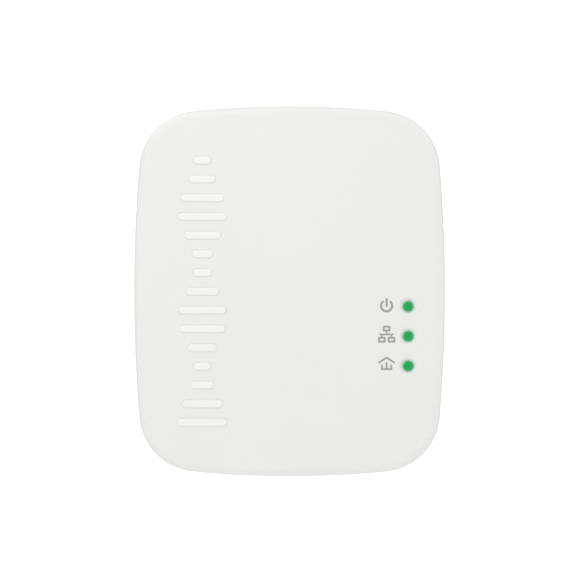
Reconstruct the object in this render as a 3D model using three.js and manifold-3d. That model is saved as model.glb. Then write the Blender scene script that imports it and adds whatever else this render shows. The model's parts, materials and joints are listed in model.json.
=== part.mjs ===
// Plug-in powerline network adapter: a white two-shell housing with a two-pin mains plug on its
// back, a network socket underneath, a pairing button on its right side and three status lights.
//
// Millimetres, +Z up. The origin is the middle of the plug's engagement face, halfway between the
// two pins. The pins point along +Y into the wall socket, the front face looks towards -Y, and +X
// is the right-hand side as seen from the front.

import * as THREE from "three";
import { mergeVertices } from "three/addons/utils/BufferGeometryUtils.js";
import Module from "manifold-3d";

const wasm = await Module();
wasm.setup();

// ---------------------------------------------------------------------------------------------
// Driving dimensions
// ---------------------------------------------------------------------------------------------

// Front outline: four slightly bulging sides joined by tangent corner arcs.
const FACE = { width: 56, height: 66.7, topRadius: 172, sideRadius: 273, cornerRadius: 10.7 };
const HALF = new THREE.Vector2(FACE.width / 2, FACE.height / 2);
const FACE_Z = -4; // the middle of the body is a little below the pins
const BACK_Y = -17; // the back plane of the body: the plug boss stands out from here to y = 0
const FRONT_Y = -45; // the highest point of the crowned front face
const CROWN = { x: 0.8, z: 1.1 }; // how far the front face falls back at its sides and ends
const SPLIT_Y = -36; // the joint line between the two shells
const SPLIT_GAP = 0.4; // the shadow groove along the joint line
const WALL = 2;
const COVER = { draft: 0.25, edgeRadius: 1.2 };
const REAR = { taper: 1, round: 4, power: 7 }; // how the rear shell narrows towards its back plane
const LIP = { inset: 1.15, length: 2 }; // the rear shell's tongue inside the cover's rebate
const FIT = 0.05; // clearance between pieces that touch

const OUTLINE_STEPS = { side: 4, corner: 5, top: 4 }; // straight pieces along each arc

const POST = { x: 18, z: 23.5, coverRadius: 2.8, rearRadius: 3.5, meetY: -30, pilotRadius: 1.35 };
const SCREW = { headRadius: 2.4, headHeight: 1.7, seatY: -21, shankRadius: 1.25, length: 15, recess: 0.9 };
const PAD = { radius: 1.5, x: 12, z: 26.5 }; // cover pads that press on the main board
const REST = { radius: 2, places: [[-12, 9], [12, 9], [-21, -9], [21, -9]] }; // under the power board

const MAIN_BOARD = { front: -37.6, back: -36.4, inset: 2.6 };
const POWER_BOARD = { front: -22.6, back: -21, inset: 3.9, bottomZ: -16.3 };
const INSULATION = { width: 37, height: 31, corner: 1, thickness: 0.3, x: -0.5, z: -0.5, gap: 0.5 };

// The light holes: each starts as a countersink, and a clear post ends a little below the face.
const LIGHT = { x: 21.25, pitch: 5.33, topZ: -2.69 + FACE_Z, radius: 0.93, hole: 1, tipDepth: 0.4 };
const SINK = { radius: 1.65, depth: 0.8 };
const LIGHT_Z = [0, 1, 2].map((i) => LIGHT.topZ - i * LIGHT.pitch);

const RELIEF = { x: -15.65, count: 15, span: 47, width: 1.3, longest: 8.8, shortest: 3, height: 0.22 };

const BUTTON = { y: -31, z: 7, length: 9.4, width: 4, faceX: 27.72, backX: 24.6, play: 0.2, rim: 0.3 };
const FLANGE = { overlap: 0.6, thickness: 0.8 }; // keeps the button behind the wall
const DISH = { radius: 8, depth: 0.25 }; // the finger hollow in the button's face
const SWITCH = { x: [19.5, 23.1], y: [MAIN_BOARD.back + FIT, -29.4], z: [3.9, 10.1], tipX: 24.15 };
const SWITCH_PLUNGER = { radius: 1.6, hole: 1.75, holeDepth: 1.1 };
const RESET = { x: 12, y: -33.9, holeRadius: 0.8, tipZ: -34.2 };
const RESET_SWITCH = { width: 4.5, backY: -32.3, z: [-33.4, -29.9] };
const RESET_PLUNGER = { radius: 0.7, hole: 0.85, holeDepth: 1.2 };

const JACK = { x: 0, width: 15.9, backY: -23.2, mouthZ: -36, depth: 17.5, play: 0.3 };
const JACK_FRONT_Y = MAIN_BOARD.back + FIT;
const PORT = { width: 11.9, frontY: -32.6, backY: -25.2, depth: 13.6, latchWidth: 6.2, latchDepth: 2 };
const CONTACT = { count: 8, pitch: 1.02, size: 0.42, length: 10.4, slant: 0.1 };
const COMB = { height: 1.9, length: 2.3 }; // the block that carries the contacts

const PIN = { spacing: 19, radius: 2, coreRadius: 1.6, length: 19, sleeve: 10, tailY: -9, tailRadius: 1.2 };
const COLLAR = { radius: 2.7, from: -4.3, to: -3.2 }; // stops a pin from being pulled out of the boss
const BOSS = { halfWidth: 17.65, halfHeight: 6.85, flat: 11.4, nose: 2.1, corner: 1.2, wall: 1.8, floor: 3 };
const BOSS_BEVEL = 0.7;
const CLAMP = { from: -7.4, to: -4.4, seat: -6.2, width: 25, height: 6.4, corner: 1.5, bore: 1.1 };
const CLAMP_POST = { radius: 2.3, pilotRadius: 0.95 };
const CLAMP_SCREW = { headRadius: 1.9, headHeight: 1.2, shankRadius: 0.8, length: 3.4, recess: 0.6 };

// Parts on the main board: width along x, height along z, thickness out from the board, and the
// place of the middle as [x, z]. Legged chips also have a number of legs on each long side.
const PROCESSOR = { width: 14, height: 14, thickness: 1.1, corner: 0.4, at: [-3, 6] };
const THERMAL_PAD = { width: 12, height: 12, thickness: 0.5, corner: 0.3 };
const HEAT_SINK = { width: 22, base: 1, height: 2.5, fins: 8, fin: 0.8 };
const MEMORY = { width: 6, height: 11, thickness: 1, legs: 6, at: [-13, -14.5] };
const FLASH = { width: 4, height: 5, thickness: 1.6, legs: 4, at: [0, -12] };
const CRYSTAL = { width: 8, height: 4, thickness: 3, corner: 1.6, at: [9.5, -11.5] };
const LAN_TRANSFORMER = { width: 8, height: 15, thickness: 4, legs: 6, reach: 1.2, at: [0, -24] };
const LAMP = { width: 2, height: 1.3, thickness: 0.8, corner: 0.15 };

// Parts on the power board. lift is the height of a part's middle over the board.
const FUSE = { radius: 4, height: 8, at: [-4.5, -11.5] };
const VARISTOR = { radius: 4.5, thickness: 3.6, at: [4.5, -11.5], lift: 5 };
const X_CAPACITOR = { width: 13, height: 6, thickness: 11, corner: 0.8, at: [-16.5, -12] };
const Y_CAPACITOR = { radius: 3.8, thickness: 3.4, at: [20.5, -11.5], lift: 4.2 };
const RECTIFIER = { width: 6.2, height: 4.8, thickness: 2.8, legs: 2, at: [12.6, -11.5] };
const CHOKE = { inner: 3.9, outer: 6.4, height: 5, wire: 0.95, at: [-15.5, 0.5] };
const FLYBACK = { width: 14, height: 13, thickness: 6, leg: 2.2, window: 5.25, windowHeight: 9.2 };
const FLYBACK_PLACE = [-6, -28.85, 16.25];
const CONTROLLER = { width: 3.9, height: 5, thickness: 1.5, legs: 4, at: [-3.3, -1] };
const BULK_CAPACITOR = { radius: 5, height: 15.6, place: [2.2, -28, 0] };
const OUTPUT_CAPACITOR = { radius: 4, height: 11, at: [15, 11.5] };
const OPTOCOUPLER = { width: 6.4, height: 4.6, thickness: 3.4, legs: 2, at: [6.3, 9] };
const COUPLING = { core: 3.5, base: 4, height: 7, window: 2.2, spool: 1.5, at: [8.2, 19.3] };
const HEADER = { at: [21.4, -2.5], pitch: 2.54, columns: 2, rows: 3, base: 2.5, pin: 8.4, depth: 6 };
const SOCKET_HEIGHT = 10.75;

// Insulated leads from the pins to the power board, each as a few points of a smooth path.
const LEADS = {
  line: [[-9.5, -9.2, 0], [-9.5, -12, 0], [-10.5, -16, 1], [-12, -20.4, 3]],
  neutral: [[9.5, -9.2, 0], [9.5, -12, 0], [8, -16, 1], [6, -20.4, 3]],
};

// Vent slots: straight ones on top, and louvres that rise inwards on the left and right sides.
const VENT = { width: 1.3, length: 9, pitch: 2.6, y: -26, count: 9 };
const LOUVRE = { width: 1.1, rise: 0.65, left: { count: 12, z: -4 }, right: { count: 7, z: -11.7 } };
const LABEL = { width: 38, height: 13, z: -16.5, corner: 1.2, thickness: 0.12, recess: 0.2, play: 0.2 };

// ---------------------------------------------------------------------------------------------
// Materials
// ---------------------------------------------------------------------------------------------

function finish(color, roughness, metalness = 0) {
  return new THREE.MeshStandardMaterial({ color, roughness, metalness });
}

const FINISH = {
  shell: finish(0xeeeeec, 0.45),
  clear: finish(0x2fae62, 0.2),
  foam: finish(0x1b1b1d, 0.9),
  board: finish(0x1f5a3a, 0.5),
  nickel: finish(0xc9c7c0, 0.25, 1),
  steel: finish(0x9a9ca0, 0.35, 1),
  aluminium: finish(0xb9bcc0, 0.4, 0.9),
  black: finish(0x17181a, 0.5),
  sleeve: finish(0x202124, 0.55),
  gold: finish(0xc79a3a, 0.3, 1),
  label: finish(0xdfe1e2, 0.5),
  sheet: finish(0xd8cfb4, 0.7),
  wireBrown: finish(0x6a3d22, 0.5),
  wireBlue: finish(0x2b55a8, 0.5),
  film: finish(0xd9b23c, 0.4),
  blueDisc: finish(0x2f5fae, 0.5),
  ferrite: finish(0x33353a, 0.7),
  copper: finish(0xb56a3a, 0.35, 1),
  tape: finish(0xd8a531, 0.5),
  bobbin: finish(0x22252a, 0.5),
  can: finish(0x1e2b45, 0.4),
  epoxy: finish(0xd8d4c6, 0.4),
  pad: finish(0x9fb4c4, 0.8),
  ledChip: finish(0xe8e6d2, 0.4),
};

// ---------------------------------------------------------------------------------------------
// Solids
// ---------------------------------------------------------------------------------------------

// A closed three.js geometry as a solid that can be cut and joined.
function solid(geometry) {
  const bare = geometry.clone();
  bare.deleteAttribute("normal");
  bare.deleteAttribute("uv");
  const merged = mergeVertices(bare, 1e-4);
  const vertProperties = merged.attributes.position.array;
  return new wasm.Manifold(
    new wasm.Mesh({ numProp: 3, vertProperties, triVerts: new Uint32Array(merged.index.array) }),
  );
}

function geometryOf(shape) {
  if (shape.isBufferGeometry) return shape;
  const made = shape.getMesh();
  const geometry = new THREE.BufferGeometry();
  geometry.setAttribute("position", new THREE.BufferAttribute(made.vertProperties, made.numProp));
  geometry.setIndex(new THREE.BufferAttribute(made.triVerts, 1));
  geometry.computeVertexNormals();
  return geometry;
}

const asSolid = (shape) => (shape.isBufferGeometry ? solid(shape) : shape);
const join = (...shapes) => shapes.map(asSolid).reduce((a, b) => a.add(b));
const cut = (base, ...tools) => tools.map(asSolid).reduce((a, b) => a.subtract(b), asSolid(base));

// A box between two corners, given as [from, to] along each axis.
function block([x0, x1], [y0, y1], [z0, z1]) {
  const box = new THREE.BoxGeometry(x1 - x0, y1 - y0, z1 - z0);
  return box.translate((x0 + x1) / 2, (y0 + y1) / 2, (z0 + z1) / 2);
}

// A round bar along Y, from one y to another.
function rodY(radius, from, to, x = 0, z = 0, segments = 14) {
  const rod = new THREE.CylinderGeometry(radius, radius, to - from, segments);
  return rod.translate(x, (from + to) / 2, z);
}

// A cone along Y, with its own radius at each end.
function coneY(fromRadius, toRadius, from, to, x = 0, z = 0, segments = 14) {
  const cone = new THREE.CylinderGeometry(toRadius, fromRadius, to - from, segments);
  return cone.translate(x, (from + to) / 2, z);
}

// A shape drawn in x and z as seen from the front, extruded back from y = 0.
function extrudeBack(shape, depth, options = {}) {
  const settings = { depth, bevelEnabled: false, curveSegments: 3, ...options };
  const made = new THREE.ExtrudeGeometry(shape, settings);
  return made.rotateX(Math.PI / 2).translate(0, depth, 0);
}

// A cutter made from a shape drawn in x and y, standing along Z from z = 0.
function punch(shape, depth, curveSegments) {
  return new THREE.ExtrudeGeometry(shape, { depth, bevelEnabled: false, curveSegments });
}

// A polygon whose corners are rounded off.
function roundedPolygon(corners, radius) {
  const shape = new THREE.Shape();
  corners.forEach((corner, i) => {
    const before = corners.at(i - 1);
    const after = corners[(i + 1) % corners.length];
    const from = corner.clone().add(before.clone().sub(corner).setLength(radius));
    const to = corner.clone().add(after.clone().sub(corner).setLength(radius));
    if (i === 0) shape.moveTo(from.x, from.y);
    else shape.lineTo(from.x, from.y);
    shape.quadraticCurveTo(corner.x, corner.y, to.x, to.y);
  });
  shape.closePath();
  return shape;
}

function roundedRectangle(width, height, radius) {
  const [x, y] = [width / 2, height / 2];
  const corners = [[-x, -y], [x, -y], [x, y], [-x, y]].map((c) => new THREE.Vector2(...c));
  return roundedPolygon(corners, radius);
}

// A slot with round ends, lying along x.
function stadium(length, width) {
  const shape = new THREE.Shape();
  const reach = (length - width) / 2;
  shape.absarc(reach, 0, width / 2, -Math.PI / 2, Math.PI / 2);
  shape.absarc(-reach, 0, width / 2, Math.PI / 2, (3 * Math.PI) / 2);
  shape.closePath();
  return shape;
}

// ---------------------------------------------------------------------------------------------
// The body's outline and skins
// ---------------------------------------------------------------------------------------------

// The centre of the corner arc that is tangent, from inside, to the side arc and the top arc.
function cornerCentre() {
  const side = new THREE.Vector2(HALF.x - FACE.sideRadius, 0);
  const top = new THREE.Vector2(0, HALF.y - FACE.topRadius);
  const fromSide = FACE.sideRadius - FACE.cornerRadius;
  const fromTop = FACE.topRadius - FACE.cornerRadius;
  const span = side.distanceTo(top);
  const along = (fromSide ** 2 - fromTop ** 2 + span ** 2) / (2 * span);
  const across = Math.sqrt(fromSide ** 2 - along ** 2);
  const direction = top.clone().sub(side).divideScalar(span);
  const normal = new THREE.Vector2(-direction.y, direction.x);
  return side.addScaledVector(direction, along).addScaledVector(normal, across);
}

const CORNER = cornerCentre();

// The outline as eight arcs, set in from the widest outline by the same distance all round.
function outlinePoints(inset) {
  const sideX = HALF.x - FACE.sideRadius;
  const topZ = HALF.y - FACE.topRadius;
  const low = Math.atan2(CORNER.y, CORNER.x - sideX);
  const high = Math.atan2(CORNER.y - topZ, CORNER.x);
  const [side, top, corner] = [FACE.sideRadius, FACE.topRadius, FACE.cornerRadius].map((r) => r - inset);
  const steps = OUTLINE_STEPS;
  const turn = Math.PI;
  const arcs = [
    [sideX, 0, side, -low, low, steps.side],
    [CORNER.x, CORNER.y, corner, low, high, steps.corner],
    [0, topZ, top, high, turn - high, steps.top],
    [-CORNER.x, CORNER.y, corner, turn - high, turn - low, steps.corner],
    [-sideX, 0, side, turn - low, turn + low, steps.side],
    [-CORNER.x, -CORNER.y, corner, turn + low, turn + high, steps.corner],
    [0, -topZ, top, turn + high, 2 * turn - high, steps.top],
    [CORNER.x, -CORNER.y, corner, -high, -low, steps.corner],
  ];
  return arcs.flatMap(([x, z, radius, start, end, count]) => {
    const arc = new THREE.EllipseCurve(x, z, radius, radius, start, end, false);
    return arc.getPoints(count).slice(0, -1);
  });
}

const outlineShape = (inset) => new THREE.Shape(outlinePoints(inset));

// The crowned front face: y at a point of the face.
function frontY(x, z) {
  const [u, v] = [x / HALF.x, (z - FACE_Z) / HALF.y];
  return FRONT_Y + CROWN.x * u * u + CROWN.z * v * v;
}

// One ring of a skin. depth is a y value, or a function of x and z that gives one.
function ring(inset, depth, scale = 1) {
  return outlinePoints(inset).map((p) => {
    const [x, z] = [p.x * scale, p.y * scale + FACE_Z];
    return new THREE.Vector3(x, typeof depth === "function" ? depth(x, z) : depth, z);
  });
}

// A closed skin through rings of equal count, ending in a fan at its first and last ring.
function skin(firstPoint, rings, lastPoint) {
  const count = rings[0].length;
  const points = [...rings.flat(), firstPoint, lastPoint];
  const [first, last] = [points.length - 2, points.length - 1];
  const index = [];
  for (let i = 0; i < count; i++) {
    const j = (i + 1) % count;
    index.push(first, i, j);
    for (let k = 0; k < rings.length - 1; k++) {
      const [a, b] = [k * count, (k + 1) * count];
      index.push(a + i, b + i, b + j, a + i, b + j, a + j);
    }
    const end = (rings.length - 1) * count;
    index.push(last, end + j, end + i);
  }
  return new THREE.BufferGeometry().setFromPoints(points).setIndex(index);
}

const FACE_SCALES = [0.35, 0.65, 0.88]; // rings across the face, from its middle to its edge
const FILLET_TURNS = [0, 1 / 3, 2 / 3, 1]; // shares of a quarter turn round the front edge

function coverSkin() {
  const { draft, edgeRadius } = COVER;
  const edgeInset = draft + edgeRadius;
  const inner = (x, z) => frontY(x, z) + WALL;
  const fillet = FILLET_TURNS.map((share) => {
    const angle = ((1 - share) * Math.PI) / 2;
    const inset = draft + edgeRadius * (1 - Math.cos(angle));
    return ring(inset, (x, z) => frontY(x, z) + edgeRadius * (1 - Math.sin(angle)));
  });
  const edgeY = SPLIT_Y - SPLIT_GAP / 2;
  const rebateY = edgeY - LIP.length - SPLIT_GAP / 2;
  const rebateInset = LIP.inset - 0.15;
  const rings = [
    ...FACE_SCALES.map((scale) => ring(edgeInset, frontY, scale)),
    ...fillet,
    ring(0, edgeY),
    ring(rebateInset, edgeY),
    ring(rebateInset, rebateY),
    ring(WALL, rebateY),
    ring(WALL + draft, (x, z) => inner(x, z) + edgeRadius),
    ring(WALL + edgeInset, inner),
    ring(WALL + edgeInset, inner, 0.5),
  ];
  return skin(
    new THREE.Vector3(0, FRONT_Y, FACE_Z),
    rings,
    new THREE.Vector3(0, FRONT_Y + WALL, FACE_Z),
  );
}

// How far the rear shell's wall is set in at a share of the way from the joint line to the back.
function rearInset(share) {
  return REAR.taper * share + REAR.round * (1 - Math.sqrt(1 - share ** REAR.power));
}

const REAR_DEPTH = BACK_Y - SPLIT_Y;
const REAR_SHARES = [0.4, 0.7, 0.85, 0.93, 0.98, 1];
const rearY = (share) => SPLIT_Y + share * REAR_DEPTH;

function rearSkin() {
  const edgeY = SPLIT_Y + SPLIT_GAP / 2;
  const lipY = edgeY - LIP.length;
  const innerBack = BACK_Y - WALL;
  const innerShare = (innerBack - SPLIT_Y) / REAR_DEPTH;
  const rings = [
    ring(WALL + rearInset(innerShare), innerBack),
    ...[0.75, 0.4].map((share) => ring(WALL + rearInset(share), rearY(share))),
    ring(WALL, lipY),
    ring(LIP.inset, lipY),
    ring(LIP.inset, edgeY),
    ring(0, edgeY),
    ...REAR_SHARES.map((share) => ring(rearInset(share), rearY(share))),
  ];
  return skin(
    new THREE.Vector3(0, innerBack, FACE_Z),
    rings,
    new THREE.Vector3(0, BACK_Y, FACE_Z),
  );
}

// Four places about the middle of the face, as [x, z].
const fourCorners = ({ x, z }) => [-1, 1].flatMap((sx) => [-1, 1].map((sz) => [sx * x, FACE_Z + sz * z]));
const POSTS = fourCorners(POST);

// ---------------------------------------------------------------------------------------------
// Housing
// ---------------------------------------------------------------------------------------------

// Raised rounded bars down the left of the face, their lengths swelling and shrinking in a wave.
function reliefBars() {
  const waves = 2.5;
  const slope = (2 * CROWN.x * RELIEF.x) / HALF.x ** 2;
  return Array.from({ length: RELIEF.count }, (_, i) => {
    const share = i / (RELIEF.count - 1);
    const swell = 0.5 - 0.5 * Math.cos(2 * Math.PI * waves * share);
    const length = RELIEF.shortest + (RELIEF.longest - RELIEF.shortest) * swell;
    const z = FACE_Z + RELIEF.span * (0.5 - share);
    const top = frontY(RELIEF.x, z) - RELIEF.height;
    const bar = extrudeBack(stadium(length, RELIEF.width), RELIEF.height + 0.6, { curveSegments: 2 });
    return bar.rotateZ(Math.atan(slope)).translate(RELIEF.x, top, z);
  });
}

// The opening underneath for the network jack. It crosses the joint line, so both shells have it.
function jackOpening() {
  const { play } = JACK;
  const wallZ = FACE_Z - HALF.y;
  return block(
    [JACK.x - JACK.width / 2 - play, JACK.x + JACK.width / 2 + play],
    [JACK_FRONT_Y - play, JACK.backY + play],
    [wallZ - 1, wallZ + 5],
  );
}

function frontCover() {
  const postStart = FRONT_Y + WALL - 0.3;
  const posts = POSTS.map(([x, z]) => rodY(POST.coverRadius, postStart, POST.meetY - FIT, x, z));
  const pad = ([x, z]) => rodY(PAD.radius, postStart, MAIN_BOARD.front - FIT, x, z, 12);
  const pads = fourCorners(PAD).map(pad);
  const pilots = POSTS.map(([x, z]) =>
    rodY(POST.pilotRadius, SCREW.seatY - SCREW.length - 1, POST.meetY + 1, x, z, 12),
  );
  const lightHoles = LIGHT_Z.flatMap((z) => {
    const y = frontY(LIGHT.x, z);
    const widening = (SINK.radius - LIGHT.hole) / SINK.depth;
    return [
      rodY(LIGHT.hole, y - 1, y + WALL + 1, LIGHT.x, z),
      coneY(SINK.radius + widening, LIGHT.hole, y - 1, y + SINK.depth, LIGHT.x, z),
    ];
  });
  const body = join(coverSkin(), ...posts, ...pads, ...reliefBars());
  return cut(body, ...pilots, ...lightHoles, jackOpening());
}

// The plug boss's profile, an elongated shape with slanted ends, set in by a distance.
function bossProfile(inset) {
  const { halfWidth, halfHeight, flat, nose, corner } = BOSS;
  const [w, h] = [halfWidth - inset, halfHeight - inset];
  const [f, n] = [flat - inset / 2, nose - inset / 4];
  const quarter = [[w, -n], [w, n], [f, h], [-f, h], [-w, n], [-w, -n], [-f, -h], [f, -h]];
  return roundedPolygon(quarter.map((c) => new THREE.Vector2(...c)), corner);
}

function plugBoss() {
  const bevel = BOSS_BEVEL;
  const depth = -BACK_Y + 1 - 2 * bevel;
  const options = { bevelEnabled: true, bevelSize: bevel, bevelThickness: bevel, bevelSegments: 2 };
  return extrudeBack(bossProfile(bevel), depth, options).translate(0, BACK_Y - 1 + bevel, 0);
}

const PIN_X = [-PIN.spacing / 2, PIN.spacing / 2];
const BOSS_HOLLOW_END = -BOSS.floor;

function bossHollow() {
  const start = BACK_Y - WALL - 1;
  return extrudeBack(bossProfile(BOSS.wall), BOSS_HOLLOW_END - start).translate(0, start, 0);
}

// Cutters for the slots across the top, down the left side, and down the right side below the button.
function ventSlots() {
  const depth = 12;
  const slot = (width) =>
    punch(stadium(VENT.length, width), depth, 2).rotateZ(Math.PI / 2).translate(0, 0, -depth / 2);
  const row = (count) => Array.from({ length: count }, (_, i) => (i - (count - 1) / 2) * VENT.pitch);
  const top = row(VENT.count).map((x) => slot(VENT.width).translate(x, VENT.y, FACE_Z + HALF.y));
  const louvres = (side, { count, z }) =>
    row(count).map((dz) =>
      slot(LOUVRE.width)
        .rotateY(Math.PI / 2 + side * LOUVRE.rise)
        .translate(side * HALF.x, VENT.y, z + dz),
    );
  return [...top, ...louvres(-1, LOUVRE.left), ...louvres(1, LOUVRE.right)];
}

function rearHousing() {
  const post = ([x, z]) => rodY(POST.rearRadius, POST.meetY + FIT, BACK_Y - 1, x, z);
  const headBore = ([x, z]) => rodY(SCREW.headRadius + 0.3, SCREW.seatY, BACK_Y + 1, x, z);
  const shankBore = ([x, z]) => rodY(SCREW.shankRadius + 0.25, POST.meetY - 1, BACK_Y, x, z, 16);
  const rests = REST.places.map(([x, z]) => rodY(REST.radius, POWER_BOARD.back + FIT, BACK_Y - 1, x, z, 12));
  const clampPost = rodY(CLAMP_POST.radius, CLAMP.seat, BOSS_HOLLOW_END + 1, 0, 0, 16);
  const clampPilot = rodY(CLAMP_POST.pilotRadius, CLAMP.from, BOSS_HOLLOW_END - 0.4, 0, 0, 12);
  const sleeveBores = PIN_X.map((x) => rodY(PIN.radius + 2 * FIT, BOSS_HOLLOW_END - 1, 1, x));
  const buttonShape = stadium(BUTTON.length + 2 * BUTTON.play, BUTTON.width + 2 * BUTTON.play);
  const buttonHole = punch(buttonShape, 8, 4)
    .rotateY(Math.PI / 2)
    .translate(HALF.x - 5, BUTTON.y, BUTTON.z);
  const resetHole = rodY(RESET.holeRadius, -4, 4, 0, 0, 12)
    .rotateX(Math.PI / 2)
    .translate(RESET.x, RESET.y, FACE_Z - HALF.y);
  const [labelWidth, labelHeight] = [LABEL.width, LABEL.height].map((size) => size + 2 * LABEL.play);
  const labelShape = roundedRectangle(labelWidth, labelHeight, LABEL.corner);
  const labelRecess = extrudeBack(labelShape, 1).translate(0, BACK_Y - LABEL.recess, LABEL.z);
  const shell = join(rearSkin(), plugBoss(), ...POSTS.map(post), ...rests);
  return cut(
    join(cut(shell, bossHollow()), clampPost),
    clampPilot,
    ...sleeveBores,
    ...POSTS.map(headBore),
    ...POSTS.map(shankBore),
    ...ventSlots(),
    buttonHole,
    jackOpening(),
    resetHole,
    labelRecess,
  );
}

// ---------------------------------------------------------------------------------------------
// Plug
// ---------------------------------------------------------------------------------------------

// A lathe profile given as [radius, height] pairs. The turned piece stands along +Y.
function turned(profile, segments = 16) {
  return new THREE.LatheGeometry(profile.map((p) => new THREE.Vector2(...p)), segments);
}

// A contact pin: a thin core inside the sleeve, a full-width tip, and a collar behind the boss floor.
function plugPin() {
  const { radius, coreRadius, length, sleeve, tailY, tailRadius } = PIN;
  return turned([
    [0, tailY],
    [tailRadius, tailY],
    [tailRadius, tailY + 3],
    [coreRadius, tailY + 3],
    [coreRadius, COLLAR.from],
    [COLLAR.radius, COLLAR.from],
    [COLLAR.radius, COLLAR.to],
    [coreRadius, COLLAR.to],
    [coreRadius, sleeve + FIT],
    [radius, sleeve + FIT],
    [radius, length - 1.6],
    [radius * 0.86, length - 0.75],
    [radius * 0.5, length - 0.15],
    [0, length],
  ]);
}

function pinSleeve() {
  const { radius, coreRadius, sleeve } = PIN;
  const from = BOSS_HOLLOW_END - 0.1;
  const inner = coreRadius + FIT;
  return turned([[inner, from], [radius, from], [radius, sleeve], [inner, sleeve], [inner, from]]);
}

// The bar that holds both pins down in the boss, with one screw in its middle.
function pinClamp() {
  const { from, to, seat, width, height, corner, bore } = CLAMP;
  const bar = extrudeBack(roundedRectangle(width, height, corner), to - from).translate(0, from, 0);
  const bores = PIN_X.map((x) => rodY(PIN.coreRadius + 2 * FIT, from - 1, to + 1, x));
  const postBore = rodY(CLAMP_POST.radius + FIT, seat - FIT, to + 1, 0, 0, 16);
  return cut(bar, ...bores, postBore, rodY(bore, from - 1, to, 0, 0, 12));
}

// A pan-head screw pointing along -Y, with the underside of its head at y = 0 and a cross recess.
function screw({ headRadius, headHeight, shankRadius, length, recess }) {
  const body = turned([
    [0, -length],
    [shankRadius * 0.5, -length],
    [shankRadius, -length + shankRadius * 1.4],
    [shankRadius, 0],
    [headRadius, 0],
    [headRadius, headHeight * 0.45],
    [headRadius * 0.78, headHeight * 0.86],
    [headRadius * 0.4, headHeight],
    [0, headHeight],
  ], 12);
  const arm = [-headRadius * 0.55, headRadius * 0.55];
  const slot = [-headRadius * 0.13, headRadius * 0.13];
  const deep = [headHeight - recess, headHeight + 1];
  return cut(body, block(arm, deep, slot), block(slot, deep, arm));
}

// An insulated lead along a smooth path.
function lead(points, radius = 0.75) {
  const section = new THREE.Shape().absarc(0, 0, radius, 0, 2 * Math.PI);
  const extrudePath = new THREE.CatmullRomCurve3(points.map((p) => new THREE.Vector3(...p)));
  return new THREE.ExtrudeGeometry(section, { steps: 9, curveSegments: 3, extrudePath });
}

// ---------------------------------------------------------------------------------------------
// Electronics
// ---------------------------------------------------------------------------------------------

// Both boards are plates that follow the body's outline and clear the screw posts.
function boardPlate({ front, back, inset }, postRadius) {
  const plate = extrudeBack(outlineShape(inset), back - front).translate(0, front, FACE_Z);
  return cut(plate, ...POSTS.map(([x, z]) => rodY(postRadius, front - 1, back + 1, x, z, 16)));
}

function powerPlate() {
  const below = block([-40, 40], [-30, -10], [-60, POWER_BOARD.bottomZ]);
  return cut(boardPlate(POWER_BOARD, POST.rearRadius + 0.5), below);
}

// One gull-wing leg on the side given by side = 1 or -1, a strip bent down to the board.
function gullLeg(side, halfBody, thickness, reach, wide) {
  const sheet = 0.2;
  const [inside, knee, end] = [halfBody - 0.1, halfBody + reach * 0.3, halfBody + reach];
  const [high, low] = [-thickness / 2 - sheet / 2, -thickness / 2 + sheet / 2];
  const corners = [
    [inside, high], [knee + sheet, high], [knee + sheet, -sheet - 0.05], [end, -sheet - 0.05],
    [end, -0.05], [knee, -0.05], [knee, low], [inside, low],
  ];
  const strip = new THREE.Shape(corners.map(([x, y]) => new THREE.Vector2(side * x, y)));
  return new THREE.ExtrudeGeometry(strip, { depth: wide, bevelEnabled: false });
}

// A chip body with rows of bent legs along two sides. It stands on y = 0 and faces -Y.
function leggedChip({ width, height, thickness, legs, reach = 0.9 }) {
  const body = block([-width / 2, width / 2], [-thickness, -0.1], [-height / 2, height / 2]);
  const pitch = (height * 0.88) / legs;
  const wide = pitch * 0.42;
  const rows = Array.from({ length: legs }, (_, i) => (i - (legs - 1) / 2) * pitch - wide / 2);
  const leg = (side) => (z) => gullLeg(side, width / 2, thickness, reach, wide).translate(0, 0, z);
  return join(body, ...rows.map(leg(1)), ...rows.map(leg(-1)));
}

// A moulded box with rounded upright edges that stands on y = 0 and faces -Y.
function standingBox({ width, height, thickness, corner }) {
  const shape = roundedRectangle(width, height, corner);
  return extrudeBack(shape, thickness).translate(0, -thickness - 0.1, 0);
}

// An electrolytic capacitor standing on y = 0 and facing -Y.
function electrolytic({ radius, height }) {
  return turned([
    [0, 0.1],
    [radius * 0.8, 0.1],
    [radius, 0.5],
    [radius, 1.6],
    [radius * 0.9, 2],
    [radius, 2.4],
    [radius, height - 0.4],
    [radius * 0.86, height],
    [radius * 0.78, height - 0.25],
    [0, height - 0.25],
  ], 14).rotateX(Math.PI);
}

// A dipped disc on edge, its round face towards the board's top and bottom.
function disc({ radius, thickness }) {
  return new THREE.SphereGeometry(1, 12, 7).rotateX(Math.PI / 2).scale(radius, radius, thickness / 2);
}

// A small signal transformer: a ferrite block on a wider base, with its winding window open in front.
function couplingTransformer() {
  const { core: c, base: b, height, window: w, spool } = COUPLING;
  const core = block([-c, c], [-height, -0.8], [-c, c]);
  const base = block([-b, b], [-1.4, -0.1], [-b, b]);
  const window = block([-w, w], [-height - 1, -2.2], [0.3 - w, w - 0.3]);
  return join(cut(join(core, base), window), rodY(spool, 0.2 - height, -1.8, 0, 0, 16));
}

function heatSink({ width, base, height, fins, fin }) {
  const half = width / 2;
  const plate = block([-half, half], [-base, 0], [-half, half]);
  const pitch = (width - fin) / (fins - 1);
  const blades = Array.from({ length: fins }, (_, i) => {
    const x = -half + i * pitch;
    return block([x, x + fin], [-height, -base / 2], [-half, half]);
  });
  return join(plate, ...blades);
}

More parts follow.
